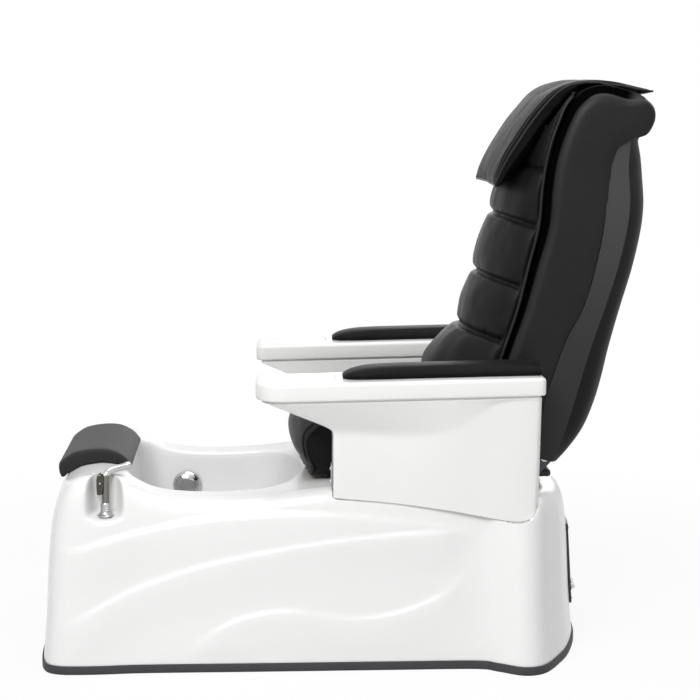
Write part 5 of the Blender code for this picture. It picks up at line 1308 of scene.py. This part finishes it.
def makeBackPad():
    k = padLook
    levels = np.concatenate([[0.0, 0.006, 0.014, 0.024], np.linspace(0.035, 0.800, 150),
                             [0.808, 0.815, 0.822, 0.828, 0.832, 0.834]])
    across = np.sin(np.linspace(-1, 1, 61) * math.pi / 2)
    rings = []
    for u in levels:
        end = float(curveAt(k["ends"], u))
        edge = float(curveAt(edgeLine, u)) - 0.0006
        side = edge - 0.012 * end
        crown = float(curveAt(k["crown"], u)) + 0.004
        half = k["half"] - 0.002 - (1 - end) * 0.012
        w = side + (crown - side) * (1 - np.abs(across) ** 2.4) * end
        level = padLevel(w, u)
        rear = float(padLevel(edge, u))
        edge = float(curveAt(edgeLine, rear)) - 0.0010
        ring = [(half * s, a, b) for s, a, b in zip(across, w, level)]
        ring += [(half * s, edge, rear) for s in np.linspace(1, -1, 25)]
        rings.append(fromBack(ring))
    pad = skinned("backPad", rings, blackLeather, sharp=180.0)
    puffed(pad, voxel=0.006, cap=0.005, pressure=2.5)
    refined(pad)
    creased(pad, deep=0.0024, size=0.090, stretch=(1.3, 1.0, 0.9), seed=11.0)
    sewChannels(pad)
    softEdges(pad, 180.0)
    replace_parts(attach(pad, "back"), "back_pad")
    makePiping(pad)


def sewChannels(pad):
    normal = normalsOf(pad)
    facing = smoothStep(0.0, 0.35, normal[:, 2] * leanSin - normal[:, 1] * leanCos)
    x, _, u = toBack(pointsOf(pad)).T
    k = padLook
    seams = k["seams"]
    spread = np.random.default_rng(7)
    shift = np.zeros(len(u))
    for seam in seams:
        off = u - seam
        shift -= 0.0100 * np.exp(-(off / 0.0070) ** 2) + 0.0035 * np.exp(-(off / 0.022) ** 2)
        for spot in np.arange(-0.205, 0.206, k["pleatPitch"]):  # short pleats on both sides of a seam
            at = spot + spread.uniform(-0.005, 0.005)
            reach = spread.uniform(*k["pleatReach"])
            deep = spread.uniform(*k["pleatDeep"])
            width = spread.uniform(*k["pleatWide"])
            lean = spread.uniform(-0.25, 0.25)
            along = off if spread.random() < 0.5 else -off
            ends = smoothStep(-0.004, 0.006, along) * (1 - smoothStep(0.3 * reach, reach, along))
            shift -= deep * np.exp(-((x - at - lean * off) / width) ** 2) * ends
    for low, high in zip((0.09,) + seams, seams + (0.80,)):  # fullness between seams
        mid, half = (low + high) / 2, (high - low) / 2
        shift += k["fullness"] * np.clip(1 - ((u - mid) / half) ** 2, 0, None)
    setPoints(pad, pointsOf(pad) + normal * (shift * facing)[:, None])


def padEdgePath(pad):  # up one side, across the top, down the other
    turn, reach = 0.785, 0.044
    half = padLook["half"] + 0.0005
    rows = [(half, u) for u in np.linspace(0.02, turn, 140)]
    rows += [(half - reach * (1 - math.cos(a)), turn + reach * math.sin(a))
             for a in np.radians(np.linspace(8, 90, 11))]
    rows += [(x, turn + reach) for x in np.linspace(half - reach - 0.01, 0.0, 18)]
    rows += [(-x, u) for x, u in rows[-2::-1]]
    path, crown = [], []
    for x, u in rows:
        edge = float(curveAt(edgeLine, u)) - 0.0006
        rear = float(padLevel(edge - 0.006, u))
        path.append((x, float(curveAt(edgeLine, rear)) - 0.0055, rear))
        crown.append(float(smoothStep(0.760, 0.800, u)))
    path = fromBack(path)
    crown = np.array(crown)[:, None]
    return path * (1 - crown) + onSurface(pad, path, 0.0010) * crown


def makePiping(pad):
    piping = swept("padPiping", padEdgePath(pad), padLook["piping"], pipingLeather, 12, sharp=180.0)
    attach(piping, "back")


pillowTop = backLook["top"] + 0.00045  # just clear of the cover
pillowLook = {
    "half": 0.194, "fill": 0.017, "piping": 0.0026, "pipingAt": 0.982, "stitchesAt": 0.93,
    "face": [(-0.2920, 0.577), (-0.2965, 0.602), (-0.2900, 0.650), (-0.2780, 0.695), (-0.2600, 0.750),
             (-0.2340, 0.806), (-0.2090, 0.834), (-0.1760, 0.854), (-0.1350, 0.8680), (-0.0950, 0.8760),
             (-0.0580, 0.8785), (-0.0020, 0.8800)],
    "under": [(0.001, 0.8765), (-0.030, pillowTop + 0.001), (-0.060, pillowTop), (-0.100, pillowTop),
              (-0.150, 0.857), (-0.182, 0.835), (-0.203, 0.795), (-0.227, 0.738), (-0.249, 0.676),
              (-0.270, 0.615), (-0.280, 0.578), (-0.287, 0.570)],
    "pull": [(0, 1.06), (0.5, 1.0), (0.80, 0.95), (0.90, 0.90), (0.95, 0.82), (0.975, 0.74), (0.99, 0.60),
             (1.0, 0.42)],
}


def makePillow():
    k = pillowLook
    face, under = splineThrough(k["face"], 8), splineThrough(k["under"], 8)

    def outer(share):  # front and top face at one place across
        pull = float(curveAt(k["pull"], abs(share)))
        return fromBack(atX(k["half"] * share, under[::-1] + (face - under[::-1]) * pull))

    w, u = under.T
    hollow = smoothStep(0.575, 0.610, u) * (1 - smoothStep(0.70, 0.80, u))
    rings = []
    for share in sharesAcross(0.87, 40, (0.91, 0.945, 0.97, 0.985, 0.995, 1.0)):
        fill = k["fill"] * float(smoothStep(0.85, 0.55, abs(share)))  # meets the pad in the middle
        below = atX(k["half"] * share, np.column_stack([w + fill * hollow, u]))
        rings.append(np.vstack([outer(share), fromBack(below)]))
    pillow = skinned("headPillow", rings, pillowLeather, sharp=180.0)
    puffed(pillow, voxel=0.0045, cap=0.004, pressure=2.5)
    refined(pillow)
    creased(pillow, deep=0.0019, size=0.095, stretch=(1.1, 1.0, 0.9), seed=23.0)
    grooved(pillow, at=k["half"] - 0.020, deep=0.0020, wide=0.0035,
            where=lambda points: toBack(points)[:, 1] < -0.06)
    softEdges(pillow, 180.0)
    edge = k["stitchesAt"]
    seamStitches("pillowStitches", "back", pillow, [outer(-edge)[:60][::-1], outer(edge)[:60]])
    edge = k["pipingAt"]
    foot = [outer(share)[0] for share in np.linspace(-edge, edge, 50)[1:-1]]
    line = np.vstack([outer(-edge)[::-1], foot, outer(edge)])
    sewn("pillowPiping", "back", pillow, [line], radius=k["piping"], lift=0.0008)
    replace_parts(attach(pillow, "back"), "head_pillow")


showerLook = {
    "place": (0.308, -0.553, 0.35401),
    "path": [(0, 0, -0.018), (0, 0, 0.012), (0, 0, 0.036), (0, 0, 0.060), (0, 0, 0.083),
             (-0.0015, 0.002, 0.0935), (-0.0075, 0.009, 0.1005), (-0.018, 0.0215, 0.1035),
             (-0.032, 0.038, 0.1052), (-0.042, 0.0495, 0.1064)],
    "radius": [(0.0, 0.0076), (0.30, 0.0076), (0.36, 0.0080), (0.52, 0.0084), (0.62, 0.0084), (0.72, 0.0082),
               (1.0, 0.0078)],
    "nozzle": [(0.0, 0.0012), (0.0048, 0.0012), (0.0050, 0.0030), (0.0082, 0.0036), (0.0092, 0.0026),
               (0.0094, 0.0), (0.0092, -0.0075), (0.0080, -0.0090), (0.0, -0.0090)],
    "collar": [(0.0, 0.0104), (0.0108, 0.0104), (0.0116, 0.0112), (0.0116, 0.0142), (0.0109, 0.0149),
               (0.0109, 0.0158), (0.0116, 0.0165), (0.0116, 0.0195), (0.0109, 0.0202), (0.0109, 0.0211),
               (0.0116, 0.0218), (0.0114, 0.0258), (0.0092, 0.0300), (0.0, 0.0300)],
    "socket": [(0.0086, -0.024), (0.0122, -0.024), (0.0122, 0.0002), (0.0186, 0.0004), (0.0195, 0.0012),
               (0.0193, 0.0026), (0.0172, 0.0042), (0.0144, 0.0054), (0.0130, 0.0080), (0.0124, 0.0096),
               (0.0118, 0.0100), (0.0086, 0.0100), (0.0086, -0.024)],
    "leverFront": [(-0.0130, 0.0975), (-0.0170, 0.0930), (-0.0192, 0.0830), (-0.0196, 0.0720),
                   (-0.0192, 0.0610), (-0.0186, 0.0520), (-0.0180, 0.0485)],
    "leverBack": [(-0.0090, 0.0985), (-0.0086, 0.0940), (-0.0088, 0.0840), (-0.0092, 0.0730),
                  (-0.0106, 0.0620), (-0.0124, 0.0530), (-0.0146, 0.0485)],
    "leverHalf": 0.0099,
    "cheek": [(-0.0172, 0.0930), (-0.0100, 0.0945), (-0.0040, 0.0905), (-0.0025, 0.0790), (-0.0040, 0.0670),
              (-0.0056, 0.0570), (-0.0085, 0.0505), (-0.0150, 0.0492), (-0.0182, 0.0520), (-0.0190, 0.0660),
              (-0.0192, 0.0820)],
    "spoutFrom": 0.093,
}


def makeShower():
    k = showerLook
    place = Matrix.Translation(k["place"])
    line = resampled(splineThrough(k["path"], 12), 70)
    share = np.linspace(0, 1, len(line))
    body = swept("body", line, curveAt(k["radius"], share), deepChrome, 32)
    body.data.materials.append(chrome)
    for face in body.data.polygons:
        face.material_index = int(face.center.z > k["spoutFrom"])
    end = Vector(line[-1] - line[-2]).normalized()
    mouth = Matrix.Translation(line[-1]) @ end.to_track_quat("Z", "Y").to_matrix().to_4x4()
    nozzle = turned("nozzle", k["nozzle"], mouth, chrome, 40)
    collar = turned("collar", k["collar"], Matrix.Identity(4), chrome, 48)
    pin = swept("pin", [(x, -0.0113, 0.076) for x in (-0.0108, -0.0040, 0.0040, 0.0108)], 0.0021, chrome, 16)
    handle = joined("showerHandle", [body, nozzle, collar, pin])
    handle.data.transform(place)
    softEdges(handle, 40.0)
    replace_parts(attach(handle, "shower"), "shower_handle")
    rings = []
    ahead, behind = splineThrough(k["leverFront"], 5), splineThrough(k["leverBack"], 5)
    for n, ((y0, z0), (y1, z1)) in enumerate(zip(ahead, behind)):
        t = n / (len(ahead) - 1)
        wide = k["leverHalf"] * math.sqrt(max(1 - abs(2 * t - 1) ** 9, 0.05))
        ring = []
        for a in np.arange(24) * 2 * math.pi / 24:
            back = 0.5 + 0.5 * squared(math.cos(a), 0.7)
            ring.append((wide * squared(math.sin(a), 0.7), y0 + (y1 - y0) * back, z0 + (z1 - z0) * back))
        rings.append(ring)
    pieces = [skinned("lever", rings, smokeChrome, sharp=50.0)]
    outline = splineThrough(k["cheek"], 6, True)
    if outlineTurn(outline) < 0:
        outline = outline[::-1]
    for side in (1, -1):  # cheeks on both sides of the column
        rings = [atX(side * x, movedIn(outline, d))
                 for x, d in ((0.0087, 0.0), (0.0097, 0.0), (0.0101, 0.0005))]
        pieces.append(skinned("cheek", rings, smokeChrome, sharp=50.0))
    lever = softEdges(joined("showerLever", pieces), 50.0)
    lever.data.transform(place)
    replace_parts(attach(lever, "trigger"), "shower_trigger")
    socket = turned("showerSocket", k["socket"], place, chrome, 56)
    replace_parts(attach(socket, "base"), "shower_socket")


jetLook = {
    "proud": 0.0075,
    "dome": [(0.0, 0.0222), (0.010, 0.0219), (0.020, 0.0208), (0.029, 0.0168), (0.0345, 0.0110),
             (0.0362, 0.0060)],
    "inside": [(0.0364, 0.0042), (0.0362, 0.0032), (0.0334, 0.0032), (0.0330, 0.0080), (0.0290, 0.0138),
               (0.0190, 0.0182), (0.0, 0.0192)],
    "holes": 20, "holeSizes": {"Radius": 0.0310, "Hole": 0.0013, "Depth": 0.060},
}


def ringOfHoles(count, sizes):  # round cutters on a circle
    p = Pattern("holes", sizes)
    circle = p.node("GeometryNodeMeshCircle", {"Vertices": count, "Radius": p.given["Radius"]})
    drill = p.node("GeometryNodeMeshCylinder", {"Vertices": 16, "Radius": p.given["Hole"],
                                                "Depth": p.given["Depth"]})
    laid = p.node("GeometryNodeInstanceOnPoints", {"Points": circle, "Instance": drill})
    return p.done(laid, chrome, lineMesh([[(0, 0, 0)]]))


def makeJet():
    k, t = jetLook, tubLook
    place = Matrix.Translation((k["proud"] - t["half"], t["jetY"], t["jetZ"]))
    place = place @ Matrix.Rotation(math.pi / 2, 4, "Y")
    dome = [tuple(q) for q in splineThrough(k["dome"], 6)]
    cap = turned("jetCap", dome + k["inside"], Matrix.Identity(4), chrome, 72)
    tool = ringOfHoles(k["holes"], k["holeSizes"])
    faceOut(tool)
    carved(cap, tool)
    cap.data.transform(place)
    softEdges(cap, 35.0)
    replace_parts(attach(cap, "base"), "jet_cap")


drainLook = {
    "flange": [(0.0176, 0.0030), (0.0182, 0.0036), (0.0215, 0.0040), (0.0270, 0.0036), (0.0322, 0.0018),
               (0.0330, 0.0006), (0.0326, 0.0003), (0.0210, 0.0003), (0.0210, -0.030), (0.0176, -0.030),
               (0.0176, 0.0030)],
    "stopper": [(0.0, 0.0088), (0.0060, 0.0086), (0.0130, 0.0080), (0.0190, 0.0066), (0.0222, 0.0052),
                (0.0226, 0.0045), (0.0220, 0.0042), (0.0050, 0.0042), (0.0050, -0.028), (0.0, -0.028)],
}


def makeDrain():
    place = Matrix.Translation((0, tubLook["drainY"], tubLook["floor"]))
    flange = turned("drainFlange", drainLook["flange"], place, chrome, 64)
    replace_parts(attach(flange, "base"), "drain_flange")
    stopper = turned("drainStopper", drainLook["stopper"], place, chrome, 64)
    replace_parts(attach(stopper, "stopper"), "drain_stopper")


def bevelledCopy(nodeName, name, finish, body, width):  # a CAD plate with broken edges
    node = frame["nodes"][nodeName]
    mesh = node.data.copy()
    mesh.transform(node.matrix_world)
    mesh.materials.clear()
    mesh.materials.append(finish)
    plate = bpy.data.objects.new(name, mesh)
    scene.collection.objects.link(plate)
    faceOut(plate)
    reshaped(plate, "BEVEL", width=width, segments=2, limit_method="ANGLE", angle_limit=math.radians(50))
    softEdges(plate, 40.0)
    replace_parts(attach(plate, body), nodeName)
    return plate


screwLook = {"inset": 0.011, "head": [(0.0, 0.0009), (0.0018, 0.0011), (0.0022, 0.0021), (0.0032, 0.0019),
                                      (0.0041, 0.0010), (0.0043, 0.0), (0.0, 0.0)]}


def screwHeads(name, body, spots, facing):  # facing turns the heads from up to outwards
    head = turned("screwHead", screwLook["head"], facing, brightSteel, 24)
    p = Pattern(name, {"Scale": 1.0})
    shape = p.node("GeometryNodeObjectInfo", {"Object": head}).outputs["Geometry"]
    laid = p.node("GeometryNodeInstanceOnPoints", {"Points": p.given["Geometry"], "Instance": shape,
                                                   "Scale": p.given["Scale"]})
    screws = p.done(laid, brightSteel, lineMesh([[spot] for spot in spots]))
    bpy.data.objects.remove(head, do_unlink=True)
    softEdges(screws, 40.0)
    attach(screws, body)


def makeRearCover():
    cover = bevelledCopy("rear_panel", "rearCover", blackPlastic, "base", 0.0012)
    low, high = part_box("rear_panel")
    spots = []
    for x in (-0.104, 0.0, 0.104):
        for z in (low.z + screwLook["inset"], high.z - screwLook["inset"]):
            hit, spot, _, _ = cover.ray_cast((x, high.y + 0.1, z), (0, -1, 0))
            spots.append(spot if hit else (x, high.y, z))
    screwHeads("coverScrews", "base", spots, Matrix.Rotation(-math.pi / 2, 4, "X"))


def makeArmPlates(word):
    small = word.lower()
    low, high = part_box("arm_bracket_" + small)
    bevelledCopy("arm_bracket_" + small, "armBracket" + word, dullSteel, "base", 0.0008)
    inset = screwLook["inset"]
    spots = [((low.x + high.x) / 2, low.y, z) for z in (low.z + inset, high.z - inset)]
    screwHeads("bracketScrews" + word, "base", spots, Matrix.Rotation(math.pi / 2, 4, "X"))


def dressNodes():
    left = 0
    for name, node in frame["nodes"].items():
        if node.hide_render:
            continue
        node.data.materials.clear()
        node.data.materials.append(dullSteel if name.startswith("arm_hinge") else slotFinish[slotOf[name]])
        left += 1
    print("CAD nodes shown:", left)


stageLook = {
    "half": 14, "greys": (0.83, 0.85), "sky": (0.95, 0.97, 1.0, 1.0), "skyPower": 0.14,
    "aim": (0.0, 0.0, 0.55),
    "lamps": [("key", (3.6, -1.2, 3.5), 2.2, 176.0), ("overhead", (0.2, 0.4, 3.9), 2.6, 56.0),
              ("front", (0.8, -4.2, 2.2), 2.2, 7.0), ("rear", (-2.2, 3.8, 2.6), 2.4, 40.0),
              ("far", (-3.8, 1.0, 1.5), 2.2, 26.0)],  # name, place, size, power
}
cameraLook = {"place": (4.52845, -0.19264, 1.31051), "target": (0.0, 0.013, 0.68552), "sensor": 36.0,
              "focus": 1900.0, "width": 700.0}  # focus and width in picture points


def aimed(name, data, place, target):
    obj = bpy.data.objects.new(name, data)
    scene.collection.objects.link(obj)
    obj.location = place
    obj.rotation_euler = (Vector(target) - Vector(place)).to_track_quat("-Z", "Y").to_euler()
    return obj


def makeStage():
    k = stageLook
    white = (1.0, 1.0, 1.0, 1.0)
    h = k["half"]
    floor = meshPiece("floor", [(-h, -h, 0), (h, -h, 0), (h, h, 0), (-h, h, 0)], [(0, 1, 2, 3)], None)
    f = Finish("floorWhite")
    f.tree.nodes.remove(f.shader)
    low, high = ((grey, grey, grey) for grey in k["greys"])
    matte = f.node("ShaderNodeBsdfDiffuse", {"Color": f.mixed(f.noise(3.0, 2.0), low, high)})
    glow = f.node("ShaderNodeEmission", {"Color": white, "Strength": 1.0})
    away = f.wire(f.node("ShaderNodeVectorMath", {0: f.place}, operation="LENGTH"), "Value")
    f.blended(f.seen() * (0.90 + 0.10 * away.between(0.9, 2.4)), matte, glow)
    floor.data.materials.append(f.owner)

    f = Finish("studio", bpy.data.worlds)
    f.tree.nodes.remove(f.shader)
    lit = f.node("ShaderNodeBackground", {"Color": k["sky"], "Strength": k["skyPower"]})
    f.blended(f.seen(), lit, f.node("ShaderNodeBackground", {"Color": white, "Strength": 1.0}))
    scene.world = f.owner

    for name, place, size, power in k["lamps"]:
        lamp = bpy.data.lights.new(name, "AREA")
        lamp.shape = "SQUARE"
        lamp.size = size
        lamp.energy = power
        aimed(name, lamp, place, k["aim"])


def makeCamera():
    k = cameraLook
    data = bpy.data.cameras.new("camera")
    data.sensor_width = k["sensor"]
    data.lens = k["sensor"] * k["focus"] / k["width"]
    data.dof.use_dof = False
    scene.camera = aimed("camera", data, k["place"], k["target"])


makeCamera()
makeBaseShell()
makeTub()
makeTrim()
print("base done")
for word, side in (("Left", 1), ("Right", -1)):
    makeArmBox(word, side)
    makeTray(word, side)
    makeArmPad(word, side)
    makeArmPlates(word)
print("arms done")
makeFootRest()
makeSeat()
print("seat done")
makeCover()
makeBackShell()
makeBackPad()
makePillow()
print("back done")
makeShower()
makeJet()
makeDrain()
makeRearCover()
print("fittings done")
dressNodes()
makeStage()
scene.view_settings.view_transform = "Standard"
